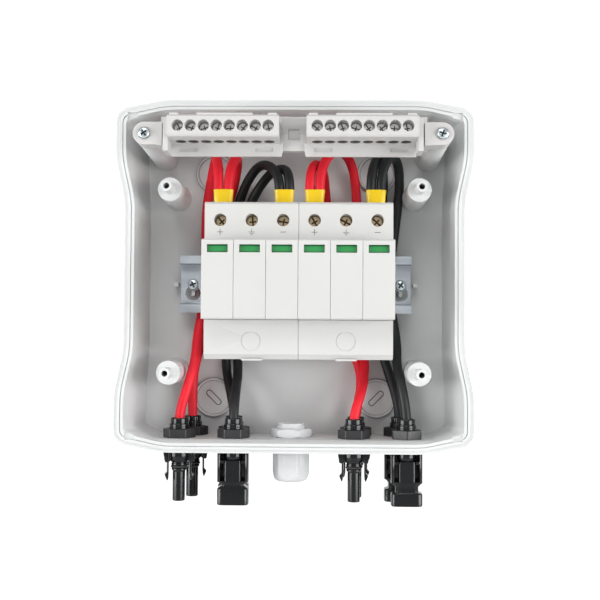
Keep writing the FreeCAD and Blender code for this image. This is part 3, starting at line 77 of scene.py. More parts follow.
def held(profile, near=0.12):
    """Profile with two more points near the ends of each run, so that smooth shading turns at its corners."""
    profile = np.asarray(profile, float)
    step = np.diff(profile, axis=0)
    share = np.minimum(near / np.maximum(np.linalg.norm(step, axis=1, keepdims=True), 1e-6), 0.3)
    rows = np.stack([profile[:-1], profile[:-1] + share * step, profile[1:] - share * step], axis=1)
    return np.vstack([rows.reshape(-1, 2), profile[-1:]])


def lathe(profile, around=64):
    """Turned surface: corner (r, h) of the profile at angle t goes to (r cos t, r sin t, h)."""
    radius, height = held(profile).T
    angle = np.linspace(0, 2 * np.pi, around, endpoint=False)
    return np.stack([np.outer(radius, np.cos(angle)), np.outer(radius, np.sin(angle)),
                     np.outer(height, np.ones(around))], axis=-1)


def rings(radius, height, angle=None):
    """Surface about the z axis from arrays of radius and height over (row, angle)."""
    radius, height = np.broadcast_arrays(radius, height)
    if angle is None:
        angle = np.linspace(0, 2 * np.pi, radius.shape[1], endpoint=False)
    return np.stack([radius * np.cos(angle), radius * np.sin(angle), height], axis=-1)


def rectangle(left, right, bottom, top):
    """Outline of a rectangle."""
    return [(left, bottom), (right, bottom), (right, top), (left, top)]


def solid(outline, low, high, ease=0.2, upright=False):
    """Straight solid of a closed outline, its two rims rounded by ease.

    Each ring is the outline moved inwards along the mean of its two edges' normals. The outline is (x, z) and
    runs along y or, if upright, (x, y) and runs up z. A tuple marks that one face closes each end ring.
    """
    flat = np.asarray(outline, float)
    u, v = flat.T
    turns_left = np.sum(u * np.roll(v, -1) - v * np.roll(u, -1)) > 0
    if turns_left != upright:
        flat = flat[::-1]
    edge = np.roll(flat, -1, axis=0) - flat
    edge /= np.linalg.norm(edge, axis=1, keepdims=True)
    normal = np.column_stack([edge[:, 1], -edge[:, 0]]) * (1 if upright else -1)
    before = np.roll(normal, 1, axis=0)
    outward = (normal + before) / np.maximum(1 + np.sum(normal * before, axis=1, keepdims=True), 0.5)
    layers = []
    for inset, level in ((1.0, low), (0.3, low + 0.3 * ease), (0.0, low + ease), (0.0, high - ease),
                         (0.3, high - 0.3 * ease), (1.0, high)):
        ring = flat - outward * inset * ease
        height = np.full(len(flat), level)
        layers.append(np.column_stack([ring[:, 0], ring[:, 1], height] if upright
                                      else [ring[:, 0], height, ring[:, 1]]))
    return (np.stack(layers),)


def facing(points, x, y, z):
    """Turn a surface made about the z axis so that z points out of the wall, and put it at (x, y, z)."""
    return np.stack([x + points[..., 0], y - points[..., 2], z + points[..., 1]], axis=-1)


def at(part, x, y, z=0.0, turn=0.0):
    """Turn a part about the z axis by degrees and move it by (x, y, z)."""
    if isinstance(part, tuple):
        return (at(part[0], x, y, z, turn),)
    c, s = math.cos(math.radians(turn)), math.sin(math.radians(turn))
    return part @ np.array([[c, s, 0], [-s, c, 0], [0, 0, 1]]) + np.array([x, y, z])


def grid_faces(rows, columns, first):
    """Quads between the rings of a grid that closes round, wound so that they face outwards."""
    row, column = np.meshgrid(np.arange(rows - 1), np.arange(columns), indexing="ij")
    after = (column + 1) % columns
    quads = np.stack([row * columns + column, row * columns + after,
                      (row + 1) * columns + after, (row + 1) * columns + column], axis=-1)
    return (quads.reshape(-1, 4) + first).tolist()


MERGE_DISTANCE = 2e-6
FLAT_ANGLE = 0.5
BEVEL_ANGLE = 38.0
MOULDED_CREASE = 30.0


def placed(name, data):
    """New object of some data, linked into the scene."""
    obj = bpy.data.objects.new(name, data)
    bpy.context.scene.collection.objects.link(obj)
    return obj


def merged(mesh, flatten=False):
    """Merge the points that meet in a mesh and, if asked, join its flat faces."""
    form = bmesh.new()
    form.from_mesh(mesh)
    bmesh.ops.remove_doubles(form, verts=form.verts, dist=MERGE_DISTANCE)
    if flatten:
        bmesh.ops.dissolve_limit(form, angle_limit=math.radians(FLAT_ANGLE), verts=form.verts,
                                 edges=form.edges)
    form.to_mesh(mesh)
    form.free()


def piece(name, parts, finish, body, stands_for=(), crease=38.0):
    """One object from grids and closed solids, whose faces all point outwards."""
    points = []
    faces = []
    first = 0
    for part in parts:
        grid = part[0] if isinstance(part, tuple) else part
        rows, columns = grid.shape[:2]
        points.append(grid.reshape(-1, 3))
        faces += grid_faces(rows, columns, first)
        if isinstance(part, tuple):
            ring = np.arange(columns)
            faces.append((ring[::-1] + first).tolist())
            faces.append((ring + (rows - 1) * columns + first).tolist())
        first += rows * columns
    mesh = bpy.data.meshes.new(name)
    mesh.from_pydata((np.concatenate(points) * MM).tolist(), [], faces)
    merged(mesh)
    finished(name, mesh, finish, body, stands_for, crease)


def finished(name, mesh, finish, body, stands_for, crease):
    """Object of a mesh, with its material, body and the CAD nodes that it stands for."""
    mesh.shade_smooth()
    mesh.set_sharp_from_angle(angle=math.radians(crease))
    mesh.materials.clear()
    mesh.materials.append(finish)
    obj = placed(name, mesh)
    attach(obj, body)
    if stands_for:
        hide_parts(*stands_for)
    return obj


def eased(node, finish, body, width):
    """Copy of a moulded or folded CAD part: triangles merged, flat faces joined, edges rounded by width."""
    mesh = NODES[node].data.copy()
    merged(mesh, flatten=True)
    obj = finished("moulded_" + node, mesh, finish, body, (node,), MOULDED_CREASE)
    bevel = obj.modifiers.new("rounded_edges", "BEVEL")
    bevel.width = width * MM
    bevel.segments = 2
    bevel.limit_method = "ANGLE"
    bevel.angle_limit = math.radians(BEVEL_ANGLE)
    bevel.harden_normals = True


def dress(node, finish):
    """Give a CAD node its finish."""
    mesh = NODES[node].data
    mesh.materials.clear()
    mesh.materials.append(finish)


# Finishes


def carried(nodes, links, value, span, levels, curve="SMOOTHSTEP"):
    """Value carried from a span to two levels, held beyond them: along a smooth step or a straight line."""
    spread = nodes.new("ShaderNodeMapRange")
    spread.interpolation_type = curve
    for label, number in zip(("From Min", "From Max", "To Min", "To Max"), (*span, *levels)):
        spread.inputs[label].default_value = number
    links.new(value, spread.inputs["Value"])
    return spread.outputs["Result"]


def along_y(nodes, links, place):
    """The y of a place, which grows from the front of the box to its back."""
    apart = nodes.new("ShaderNodeSeparateXYZ")
    links.new(place, apart.inputs["Vector"])
    return apart.outputs["Y"]


class Finish:
    """Builder of one material: Object coordinates feed the noise that tints it and shapes its bump."""

    def __init__(self, name, roughness, metallic=0.0, coat=0.0, specular=0.5):
        self.material = bpy.data.materials.new(name)
        self.material.use_nodes = True
        self.nodes = self.material.node_tree.nodes
        self.links = self.material.node_tree.links
        self.shader = self.nodes["Principled BSDF"]
        self.shader.inputs["Roughness"].default_value = roughness
        self.shader.inputs["Metallic"].default_value = metallic
        self.shader.inputs["Coat Weight"].default_value = coat
        self.shader.inputs["Coat Roughness"].default_value = 0.12
        self.shader.inputs["Specular IOR Level"].default_value = specular
        self.place = self.nodes.new("ShaderNodeTexCoord").outputs["Object"]

    def noise(self, scale, detail=3.0, stretch=None):
        """Cloudy value over the surface; a stretch below 1 draws it out along that axis, as rolling does."""
        source = self.place
        if stretch:
            mapping = self.nodes.new("ShaderNodeMapping")
            mapping.inputs["Scale"].default_value = stretch
            self.links.new(source, mapping.inputs["Vector"])
            source = mapping.outputs["Vector"]
        cloud = self.nodes.new("ShaderNodeTexNoise")
        cloud.inputs["Scale"].default_value = scale
        cloud.inputs["Detail"].default_value = detail
        self.links.new(source, cloud.inputs["Vector"])
        return cloud.outputs["Fac"]

    def ramp(self, value, stops):
        """Two colours blended along a value, from two stops of (place, colour)."""
        node = self.nodes.new("ShaderNodeValToRGB")
        for element, (where, colour) in zip(node.color_ramp.elements, stops):
            element.position = where
            element.color = (*colour, 1.0)
        self.links.new(value, node.inputs["Fac"])
        return node.outputs["Color"]

    def tint(self, value, stops):
        """Base colour from a ramp."""
        self.links.new(self.ramp(value, stops), self.shader.inputs["Base Color"])

    def gloss(self, value, low, high):
        """Roughness that wanders between low and high."""
        rough = carried(self.nodes, self.links, value, (0.3, 0.7), (low, high), "LINEAR")
        self.links.new(rough, self.shader.inputs["Roughness"])

    def bump(self, value, height):
        """Fine relief of that height in millimetres."""
        relief = self.nodes.new("ShaderNodeBump")
        relief.inputs["Strength"].default_value = 1.0
        relief.inputs["Distance"].default_value = height * MM
        self.links.new(value, relief.inputs["Height"])
        self.links.new(relief.outputs["Normal"], self.shader.inputs["Normal"])


def moulded(name, colour, roughness, grain=900.0, relief=0.02, spread=0.03, coat=0.0, specular=0.5):
    """Injection-moulded plastic: slow colour drift, fine sparked grain, gloss that wanders a little."""
    finish = Finish(name, roughness, coat=coat, specular=specular)
    pale = tuple(min(1.0, part * (1 + spread)) for part in colour)
    deep = tuple(part * (1 - spread) for part in colour)
    finish.tint(finish.noise(18.0, 4.0), [(0.35, deep), (0.65, pale)])
    finish.gloss(finish.noise(60.0, 4.0), roughness * 0.88, min(1.0, roughness * 1.12))
    finish.bump(finish.noise(grain, 2.0), relief)
    return finish.material


def plated(name, light, dark, roughness, patch=700.0, stretch=None):
    """Plated or bare metal: crystal patches and rolling marks between a light and a dark tone."""
    finish = Finish(name, roughness, metallic=1.0)
    finish.tint(finish.noise(patch, 4.0, stretch), [(0.3, dark), (0.7, light)])
    finish.gloss(finish.noise(patch * 0.4, 3.0), roughness * 0.75, min(1.0, roughness * 1.3))
    finish.bump(finish.noise(patch * 1.8, 2.0, stretch), 0.01)
    return finish.material


def screw_with_painted_groove_shade(name, light, dark, roughness, front, span=(0.3, 0.7), glow=0.2, metallic=0.6):
    """Plated screw head with painted shade in the grooves of its drive: light to dark over a span behind its
    front.

    A faint painted glow in the same colours stands in for the light that a narrow hole keeps from its screw.
    """
    finish = Finish(name, roughness, metallic=metallic)
    groove = tuple((front + behind) * MM for behind in span)
    # Painted shade: colour runs from light at the face to dark down in the drive's grooves.
    y = along_y(finish.nodes, finish.links, finish.place)
    depth = carried(finish.nodes, finish.links, y, groove, (0.0, 1.0))
    colour = finish.ramp(depth, [(0.1, light), (0.9, dark)])
    # Painted glow: the same colour also feeds the emission.
    for socket in ("Base Color", "Emission Color"):
        finish.links.new(colour, finish.shader.inputs[socket])
    finish.shader.inputs["Emission Strength"].default_value = glow
    finish.gloss(finish.noise(240.0, 3.0), roughness * 0.75, min(1.0, roughness * 1.3))
    finish.bump(finish.noise(900.0, 2.0), 0.01)
    return finish.material


TRAY = moulded("tray_light_grey", (0.665, 0.678, 0.677), 0.42, grain=1400.0, relief=0.012, spread=0.02)
DEVICE = moulded("device_white", (0.59, 0.59, 0.575), 0.34, relief=0.008, spread=0.012, coat=0.1)
TERMINAL = moulded("terminal_white", (0.55, 0.543, 0.533), 0.38, relief=0.01, spread=0.015)
GLAND_WHITE = moulded("gland_pale_grey", (0.60, 0.612, 0.62), 0.42, relief=0.012, spread=0.015)
GLOSS_BLACK = moulded("connector_black", (0.008, 0.009, 0.010), 0.16, grain=300.0, relief=0.001,
                      spread=0.2, specular=0.4)
NUT_BLACK = moulded("nut_black", (0.026, 0.026, 0.028), 0.42, grain=1800.0, relief=0.02, spread=0.2)
SEAL_BLACK = moulded("seal_rubber", (0.030, 0.030, 0.031), 0.7, grain=1200.0, relief=0.02, spread=0.2)
RED_SLEEVE = moulded("lead_red", (0.76, 0.012, 0.028), 0.5, grain=420.0, relief=0.03, spread=0.1,
                     specular=0.3)
BLACK_SLEEVE = moulded("lead_black", (0.012, 0.014, 0.015), 0.45, grain=420.0, relief=0.03, spread=0.2,
                       specular=0.35)
YELLOW_COLLAR = moulded("ferrule_yellow", (0.90, 0.62, 0.006), 0.4, relief=0.01, spread=0.04)
FLAG_GREEN = moulded("flag_green", (0.035, 0.30, 0.08), 0.3, grain=600.0, relief=0.006, spread=0.05, coat=0.3)
ZINC = plated("rail_zinc", (0.70, 0.75, 0.80), (0.56, 0.61, 0.67), 0.45, patch=240.0,
              stretch=(0.12, 1.0, 1.0))
# Screw finishes: painted shade darkens each drive's grooves; steel and bronze heads also get a faint painted
# glow.
SCREW_ZINC = {node: screw_with_painted_groove_shade(f"{node}_zinc", (0.68, 0.76, 0.80), (0.09, 0.105, 0.11), 0.30,
                           corners(node)[0][1], span=(0.5, 1.0), glow=0.0, metallic=0.95)
              for node in ("rail_screws", "carrier_screws")}
SCREW_STEEL = screw_with_painted_groove_shade("screw_steel", (0.93, 0.92, 0.90), (0.10, 0.095, 0.09), 0.34,
                     corners("terminal_bar_screws")[0][1])
SCREW_BRONZE = screw_with_painted_groove_shade("screw_bronze", (0.80, 0.64, 0.42), (0.09, 0.055, 0.03), 0.36,
                      corners("spd_screws")[0][1])
BRASS = plated("brass", (0.80, 0.62, 0.30), (0.58, 0.42, 0.18), 0.3)
CLAMP_STEEL = plated("clamp_steel", (0.55, 0.52, 0.47), (0.36, 0.33, 0.29), 0.4, patch=600.0)
TIN = plated("sleeve_tin", (0.75, 0.75, 0.74), (0.58, 0.58, 0.57), 0.3)
# Painted shade for the scored lines on the knockout pads.
SCORE_SHADE = moulded("score_shade", (0.13, 0.13, 0.13), 0.7, spread=0.05)
MARK_GREY = moulded("mark_grey", (0.16, 0.165, 0.17), 0.5, spread=0.05)
TRIP_RED = moulded("trip_red", (0.62, 0.015, 0.015), 0.4, spread=0.03)
# Painted shade: dark green for the shaded recess edge round each status flag's window.
WINDOW_SHADE_GREEN = moulded("window_edge_shade", (0.010, 0.085, 0.030), 0.3, spread=0.05, coat=0.3)
# Painted shade for the inside of the lead entries.
ENTRY_SHADE = moulded("entry_shade", (0.075, 0.070, 0.062), 0.6, spread=0.05)
# Painted shade for the inside corners of the rail's folds.
FOLD_SHADE = moulded("fold_shade", (0.14, 0.155, 0.17), 0.5, spread=0.05)
FOOT_SHADE = moulded("rim_foot_shade", (0.36, 0.37, 0.37), 0.6, spread=0.05)

# Leads: the routes of the tubes, as (x, height over the inner back face, z) in millimetres.

RED_ROUTES = {
    "lead_red_1": [
        (-44.95, 40, 51), (-44.95, 40, 60), (-46.8, 31, 72.5), (-50, 14, 71.5), (-53.5, 6.5, 58),
        (-56, 4, 43), (-56.3, 3.6, 22), (-55.9, 3.6, -2), (-57.8, 3.9, -19), (-60.1, 12, -36),
        (-60, 22, -51.5), (-63.9, 27.8, -66)],
    "lead_red_2": [
        (-39.05, 40, 51), (-39.05, 40, 60), (-36, 32, 72), (-35, 18, 72), (-38.5, 9, 56), (-44.5, 4, 42.5),
        (-48.4, 3.6, 25), (-49.5, 3.6, 2), (-51.8, 3.6, -21), (-57.9, 3.8, -38), (-61.8, 7.5, -53),
        (-62.8, 10.3, -66)],
    "lead_red_3": [
        (9.05, 40, 51), (9.05, 40, 60), (11.8, 33, 68.5), (17, 18, 66.5), (18.3, 8, 55), (19.5, 4, 42),
        (22.5, 3.6, 22), (27.5, 3.6, 0), (32.3, 3.6, -22), (35.2, 3.6, -42), (40.6, 4.6, -56),
        (40.8, 8.8, -68)],
    "lead_red_4": [
        (14.95, 40, 51), (14.95, 40, 61), (20, 33.5, 73.5), (28, 22, 78), (34.5, 11, 72), (37.4, 5.5, 58),
        (38, 3.8, 42), (38.6, 3.6, 22), (40, 3.6, 0), (41.9, 3.6, -22), (42.9, 3.6, -46), (42.9, 11, -58),
        (40.9, 23, -68)],
}
BLACK_ROUTES = {
    "lead_black_1": [
        (-8.95, 40, 51), (-8.95, 40, 58), (-14, 32, 66.5), (-22, 20, 69.5), (-29.5, 11, 61.5), (-35, 5.2, 50),
        (-38.8, 3.8, 35), (-41.8, 3.6, 12), (-43.2, 3.6, -15), (-43.2, 3.6, -40), (-42.6, 4.2, -57),
        (-39.6, 8.4, -69.5)],
    "lead_black_2": [
        (-3.05, 40, 51), (-3.05, 40, 59), (-6.4, 31.5, 65.5), (-15, 18.5, 65), (-23, 9, 56.5), (-29.2, 5, 46),
        (-32.8, 3.6, 31), (-35.7, 3.6, 9), (-36.9, 3.6, -16), (-36.2, 3.6, -42), (-34.9, 8.4, -58),
        (-35.3, 21.4, -68.5)],
    "lead_black_3": [
        (45.05, 40, 51), (45.05, 40, 61), (49.5, 31, 73), (53, 16, 73), (54.5, 7, 61), (53.8, 4, 45),
        (52, 3.6, 25), (50.6, 3.6, 1), (51.0, 3.6, -22), (53.4, 3.6, -43), (58.2, 6.6, -58.5),
        (61.8, 9.8, -70)],
    "lead_black_4": [
        (50.95, 40, 51), (50.95, 40, 61), (56.5, 32, 73), (62.6, 19, 71.5), (64.2, 10, 58), (63.2, 4.6, 45),
        (61.4, 3.6, 28), (58.2, 3.6, 8), (57.5, 3.6, -9), (60.7, 4, -25), (62.8, 9, -40), (61.9, 18, -53),
        (64.6, 26.6, -65.5)],
}

# Each lead's connector, and the sizes of all the leads in millimetres.

LEAD_ENDS = {"lead_red_1": PLUGS[0], "lead_red_2": PLUGS[1], "lead_red_3": PLUGS[3], "lead_red_4": PLUGS[2],
             "lead_black_1": SOCKETS[1], "lead_black_2": SOCKETS[0], "lead_black_3": SOCKETS[3],
             "lead_black_4": SOCKETS[2]}
LEAD_SEAT = 8.0
LEAD_STRAIGHT = 6.5
LEAD_RADIUS = 2.9


def lead(node, route, finish):
    """One round lead: a smooth NURBS line steered by its route's points, with a round section."""
    x, y = LEAD_ENDS[node]
    ends = [(x, y, FLOOR + LEAD_SEAT + LEAD_STRAIGHT), (x, y, FLOOR + LEAD_SEAT)]
    points = np.array([(x, -(WALL + height), z) for x, height, z in route] + ends) * MM
    line = bpy.data.curves.new("solar_" + node, "CURVE")
    line.dimensions = "3D"
    spline = line.splines.new("NURBS")
    spline.points.add(len(points) - 1)
    spline.points.foreach_set("co", np.column_stack([points, np.ones(len(points))]).ravel())
    spline.order_u = 3
    spline.use_endpoint_u = True
    spline.resolution_u = 12
    line.bevel_depth = LEAD_RADIUS * MM
    line.bevel_resolution = 7
    line.use_fill_caps = True
    line.materials.append(finish)
    obj = placed("solar_" + node, line)
    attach(obj, "enclosure")
    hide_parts(node)


# Screws: each drive is a list of arms of (half-width, reach, depth, turned a quarter or not).

CROSS = [(0.42, 1.9, 1.1, True), (0.42, 1.9, 1.1, False)]
COMBINED = [(0.5, 3.4, 0.75, True), (0.42, 1.9, 1.2, False), (0.42, 1.9, 1.2, True)]
SLOTTED = [(0.34, 3.4, 0.9, True), (0.3, 1.5, 1.1, False)]
THREAD_DEPTH = 0.3
WIDTH_BLUR = 0.12
REACH_BLUR = 0.3
PAN_RADIUS = 3.2
BLOCK_SCREW_RADIUS = 2.8
POLE_PITCH = 7.05
POLE_TURNS = (40, 5, 80, 30, 62, 48)
BLOCK_TURNS = (25, 70, 110, -20, 95, 140, 60, 15, 50, 100, 20, 75, 35, 130, 85, 10)


def screw(head_radius, head_height, dome, shank_radius, length, pitch, drive, turn, around=60):
    """Screw about the z axis, its head's seat at z = 0: tip, thread, rim and driven face.

    Thread: r = shank - depth of a triangle wave of (h / pitch - angle / 360). Face: the height at radius r is
    H - dome * (r / R) ** 2.5, less the drive, which is the deepest of its smooth-edged arms there.
    """
    angle = np.linspace(0, 2 * np.pi, around, endpoint=False)
    height = np.linspace(-length, 0, max(8, int(length / pitch * 5)))[:, None]
    wave = np.abs((height / pitch - angle / (2 * np.pi)) % 1.0 - 0.5) * 2
    share = np.linspace(0.94, 0.0, 26)[:, None] * np.ones(around)
    across = share * head_radius * np.cos(angle - math.radians(turn))
    along = share * head_radius * np.sin(angle - math.radians(turn))
    depth = np.zeros_like(share)
    for half_width, reach, deep, quarter in drive:
        u, v = (across, along) if quarter else (along, across)
        width_edge = np.clip((half_width - np.abs(u)) / WIDTH_BLUR + 0.5, 0, 1)
        reach_edge = np.clip((reach - np.abs(v)) / REACH_BLUR + 0.5, 0, 1)
        depth = np.maximum(depth, deep * width_edge * reach_edge)
    side = [(head_radius * 0.97, 0.0), (head_radius, 0.12 * head_height),
            (head_radius, head_height - dome - 0.15), (head_radius * 0.97, head_height - dome)]
    rows = [(np.zeros((1, around)), np.full((1, around), -length)),
            (shank_radius - THREAD_DEPTH * wave, height + 0 * angle)]
    rows += [(np.full((1, around), r), np.full((1, around), h)) for r, h in side]
    rows.append((share * head_radius, head_height - dome * share ** 2.5 - depth))
    return rings(np.vstack([r for r, _ in rows]), np.vstack([h for _, h in rows]))


def screw_row(node, name, finish, slot, places, turns, head_height, **shape):
    """Equal screws at places along x, each with its own turn, their heads' tops level with the CAD node's."""
    seat = corners(node)[0][1] + head_height
    level = middle(node)[2]
    parts = [facing(screw(head_height=head_height, turn=turn, **shape), x, seat, level)
             for x, turn in zip(places, turns)]
    piece(name, parts, finish, "enclosure", [node])


def block_poles():
    """Middles of the sixteen poles of the two terminal blocks, from the right end of their row of screws."""
    outer = corners("terminal_bar_screws")[1][0] - BLOCK_SCREW_RADIUS
    right = outer - POLE_PITCH * np.arange(7, -1, -1)
    return np.concatenate([-right[::-1], right])


def screws():
    """All the screws: rail, carrier, surge protector terminals and terminal blocks."""
    for node, length, turns in (("rail_screws", 8.0, (20, 55)), ("carrier_screws", 19.5, (35, 70))):
        low, high = corners(node)
        screw_row(node, node.replace("screws", "pan_screws"), SCREW_ZINC[node], "screw_steel",
                  (low[0] + PAN_RADIUS, high[0] - PAN_RADIUS), turns, head_height=2.0, head_radius=PAN_RADIUS,
                  dome=0.8, shank_radius=1.4, length=length, pitch=1.2, drive=CROSS)
    poles = [middle(f"surge_module_{number}")[0] for number in MODULES]
    screw_row("spd_screws", "spd_terminal_screws", SCREW_BRONZE, "screw_bronze", poles, POLE_TURNS,
              head_height=2.4, head_radius=3.3, dome=0.35, shank_radius=1.9, length=3.6, pitch=0.9,
              drive=COMBINED)
    screw_row("terminal_bar_screws", "terminal_block_screws", SCREW_STEEL, "screw_steel", block_poles(),
              BLOCK_TURNS, head_height=3.2, head_radius=BLOCK_SCREW_RADIUS, dome=0.3, shank_radius=1.4,
              length=4.0, pitch=0.8, drive=SLOTTED)


# Ferrules, at their places along x

FERRULES = (-42, -6, 12, 48)
FERRULE_Y = -43.0


def oval(profile, power, around=48):
    """Superellipse surface: |x / a| ** n + |y / b| ** n = 1 at height h, for each (a, b, h) of a profile."""
    angle = np.linspace(0, 2 * np.pi, around, endpoint=False)
    c, s = np.cos(angle), np.sin(angle)
    half_width, half_depth, height = np.asarray(profile, float).T[:, :, None]
    x = half_width * np.sign(c) * np.abs(c) ** (2 / power)
    y = half_depth * np.sign(s) * np.abs(s) ** (2 / power)
    return np.stack([x, y, height + 0 * x], axis=-1)


def ferrules():
    """Twin ferrules: a flared flat collar with a hollow mouth round the two leads, and a tinned sleeve."""
    collar = oval([(0.01, 0.01, 41.8), (4.9, 2.6, 41.8), (5.25, 2.9, 42.1), (5.35, 3.0, 44.0),
                   (5.6, 3.15, 47.5), (5.9, 3.3, 50.6), (5.9, 3.3, 50.9), (5.7, 3.1, 51.0),
                   (5.4, 2.9, 50.8), (5.35, 2.88, 49.0), (0.01, 0.01, 49.0)], 3.2)
    sleeve = lathe([(0.01, 29.8), (2.2, 29.8), (2.4, 30.2), (2.4, 41.9), (0.01, 41.9)], 32)
    piece("ferrule_collars", [at(collar, x, FERRULE_Y) for x in FERRULES], YELLOW_COLLAR, "enclosure",
          ["wire_ferrules"])
    piece("ferrule_sleeves", [at(sleeve, x, FERRULE_Y) for x in FERRULES], TIN, "enclosure")


# Panel connectors, made about the z axis with the floor's inner face at z = 0

SECTOR = np.array([-30, -29.2, -28.4, -27.4, -26, -23, -16, -8, 0, 8, 16, 23, 26, 27.4, 28.4, 29.2])
SIX_ANGLES = np.radians((SECTOR[None, :] + 30 + 60 * np.arange(6)[:, None]).ravel())
COLLAR = [(8.6, -5.8), (8.85, -5.5), (8.85, -4.4), (8.65, -4.2), (5.7, -4.2), (5.7, 7.9)]
TAIL = [(5.3, 8.2), (4.85, 8.35), (4.85, 8.65), (5.12, 8.85), (5.1, 11.1), (5.0, TAIL_TOP - 0.2),
        (4.8, TAIL_TOP), (4.3, TAIL_TOP), (4.15, TAIL_TOP - 0.2), (4.05, 10.2), (3.05, 9.2),
        (3.05, LEAD_SEAT), (0.0, LEAD_SEAT)]
SEAL_LOW = -17.9
SEAL_HIGH = -16.5
SEAL_RADIUS = 4.15
PLUG_TURNS = (12.0, 9.0, -3.0, -6.0)
NUT_TURNS = (0, 4, -3, 2, 0, -4, 30, 3)


def threaded(radius, depth, pitch, low, high, around=60):
    """Round thread, faded at both ends.

    r = radius - depth of a clipped triangle wave of (h / pitch - angle / 360).
    """
    angle = np.linspace(0, 2 * np.pi, around, endpoint=False)
    height = np.linspace(low, high, int((high - low) / pitch * 12) + 2)[:, None]
    wave = np.abs((height / pitch - angle / (2 * np.pi)) % 1.0 - 0.5) * 2
    fade = np.clip((high - height) / pitch * 2, 0, 1) * np.clip((height - low) / pitch * 2 + 0.3, 0, 1)
    groove = depth * np.clip(wave * 1.6 - 0.3, 0, 1) * fade + depth * (1 - fade) * 0.6
    root = np.full((1, around), radius - depth)
    ends = [np.full((1, around), low - 0.01), np.full((1, around), high + 0.01)]
    return rings(np.vstack([root, radius - groove, root]), np.vstack([ends[0], height + 0 * angle, ends[1]]))


def six(flats, sharp=34.0):
    """Radius of a softly rounded hexagon: flats / 2 over the n-norm of the cosines to its flats' normals."""
    normals = np.pi / 6 + np.pi / 3 * np.arange(3)[:, None]
    cosines = np.abs(np.cos(SIX_ANGLES[None, :] - normals))
    return flats / 2 / np.sum(cosines ** sharp, axis=0) ** (1 / sharp)


def hexed(flats, low, high, bore, drop):
    """Hexagonal nut: r is the lesser of the rounded hexagon and, within drop of each face, a chamfer cone."""
    inset, rise, mouth = 0.12, 0.1, 0.5
    inner = flats / 2 * 0.99
    share = np.array([0.0, 0.25, 0.5, 0.75, 1.0])[:, None]
    outer = np.minimum(six(flats), inner + (flats / math.sqrt(3) - inner) * share)
    end = outer - inset
    round_bore = [np.full((1, len(SIX_ANGLES)), radius) for radius in (bore, bore + mouth, bore, bore)]
    radii = np.vstack([round_bore[0], end, outer, outer[::-1], end[:1]] + round_bore[1:])
    lift = (share * drop).ravel()
    heights = np.concatenate([[low], low + 0 * lift, low + rise + lift, high - rise - lift[::-1],
                              [high, high, high - mouth, low]])
    return rings(radii, heights[:, None] + 0 * SIX_ANGLES, SIX_ANGLES)


def sided(outline, side):
    """Outline mirrored to one side of the z axis."""
    return [(side * x, z) for x, z in outline]


def plugs():
    """Panel plugs: turned collar, two discs round the seal ring, slim nose, side wings and barbed fingers."""
    tip = PLUG_TIP
    core = lathe([(0, tip + 18), (2.45, tip + 18), (2.45, tip + 0.4), (2.7, tip), (3.3, tip),
                  (3.68, tip + 0.4), (3.7, -20.2), (3.8, -19.6), (4.2, -19.25), (4.4, -19.0), (4.4, -18.4),
                  (4.2, -18.1), (3.9, SEAL_LOW), (3.9, SEAL_HIGH), (4.3, -16.45), (4.55, -16.2),
                  (4.55, -15.4), (4.3, -15.1), (4.3, -14.7), (4.9, -14.2), (5.6, -13.2), (6.0, -12.2),
                  (6.2, -11.0), (6.2, -5.8)] + COLLAR + TAIL)
    wing = [(5.0, -5.2), (8.9, -5.2), (9.6, -6.8), (9.3, -9.6), (8.6, -14.0), (8.0, -14.6), (6.3, -14.4),
            (5.0, -13.4)]
    finger = [(6.2, -13.8), (7.15, -13.8), (7.15, -20.4), (8.45, -21.8), (8.4, -22.5), (7.3, -25.1),
              (6.9, -25.3), (6.4, -23.8), (6.2, -21.0)]
    rib = [(6.3, -5.2), (7.0, -5.2), (7.0, -13.6), (6.3, -13.9)]
    forms = [core]
    for side in SIDES:
        for outline, half_depth in ((wing, 3.4), (finger, 2.9), (rib, 4.6)):
            forms.append(solid(sided(outline, side), -half_depth, half_depth))
    for number, (x, y), turn in zip(CONNECTORS, PLUGS, PLUG_TURNS):
        piece(f"panel_plug_{number}", [at(form, x, y, FLOOR, turn) for form in forms], GLOSS_BLACK,
              "enclosure", [f"plug_connector_{number}"])
    half = (SEAL_HIGH - SEAL_LOW) / 2
    bead = [(SEAL_RADIUS + half * math.cos(a), SEAL_LOW + half + half * math.sin(a))
            for a in np.linspace(0, 2 * np.pi, 17)]
    piece("nose_seal_rings", [at(lathe(bead), x, y, FLOOR) for x, y in PLUGS], SEAL_BLACK, "enclosure",
          ["plug_seal_rings"])


def side_part(left, right, half_width, half_depth, power):
    """Part of a superellipse between two x: y = b (1 - (x / a) ** n) ** (1 / n) at the front and the back."""
    x = left + (right - left) * np.sin(np.linspace(0, np.pi / 2, 14))
    y = half_depth * (1 - (x / half_width) ** power) ** (1 / power)
    return np.vstack([np.column_stack([x, -y]), np.column_stack([x, y])[::-1]])


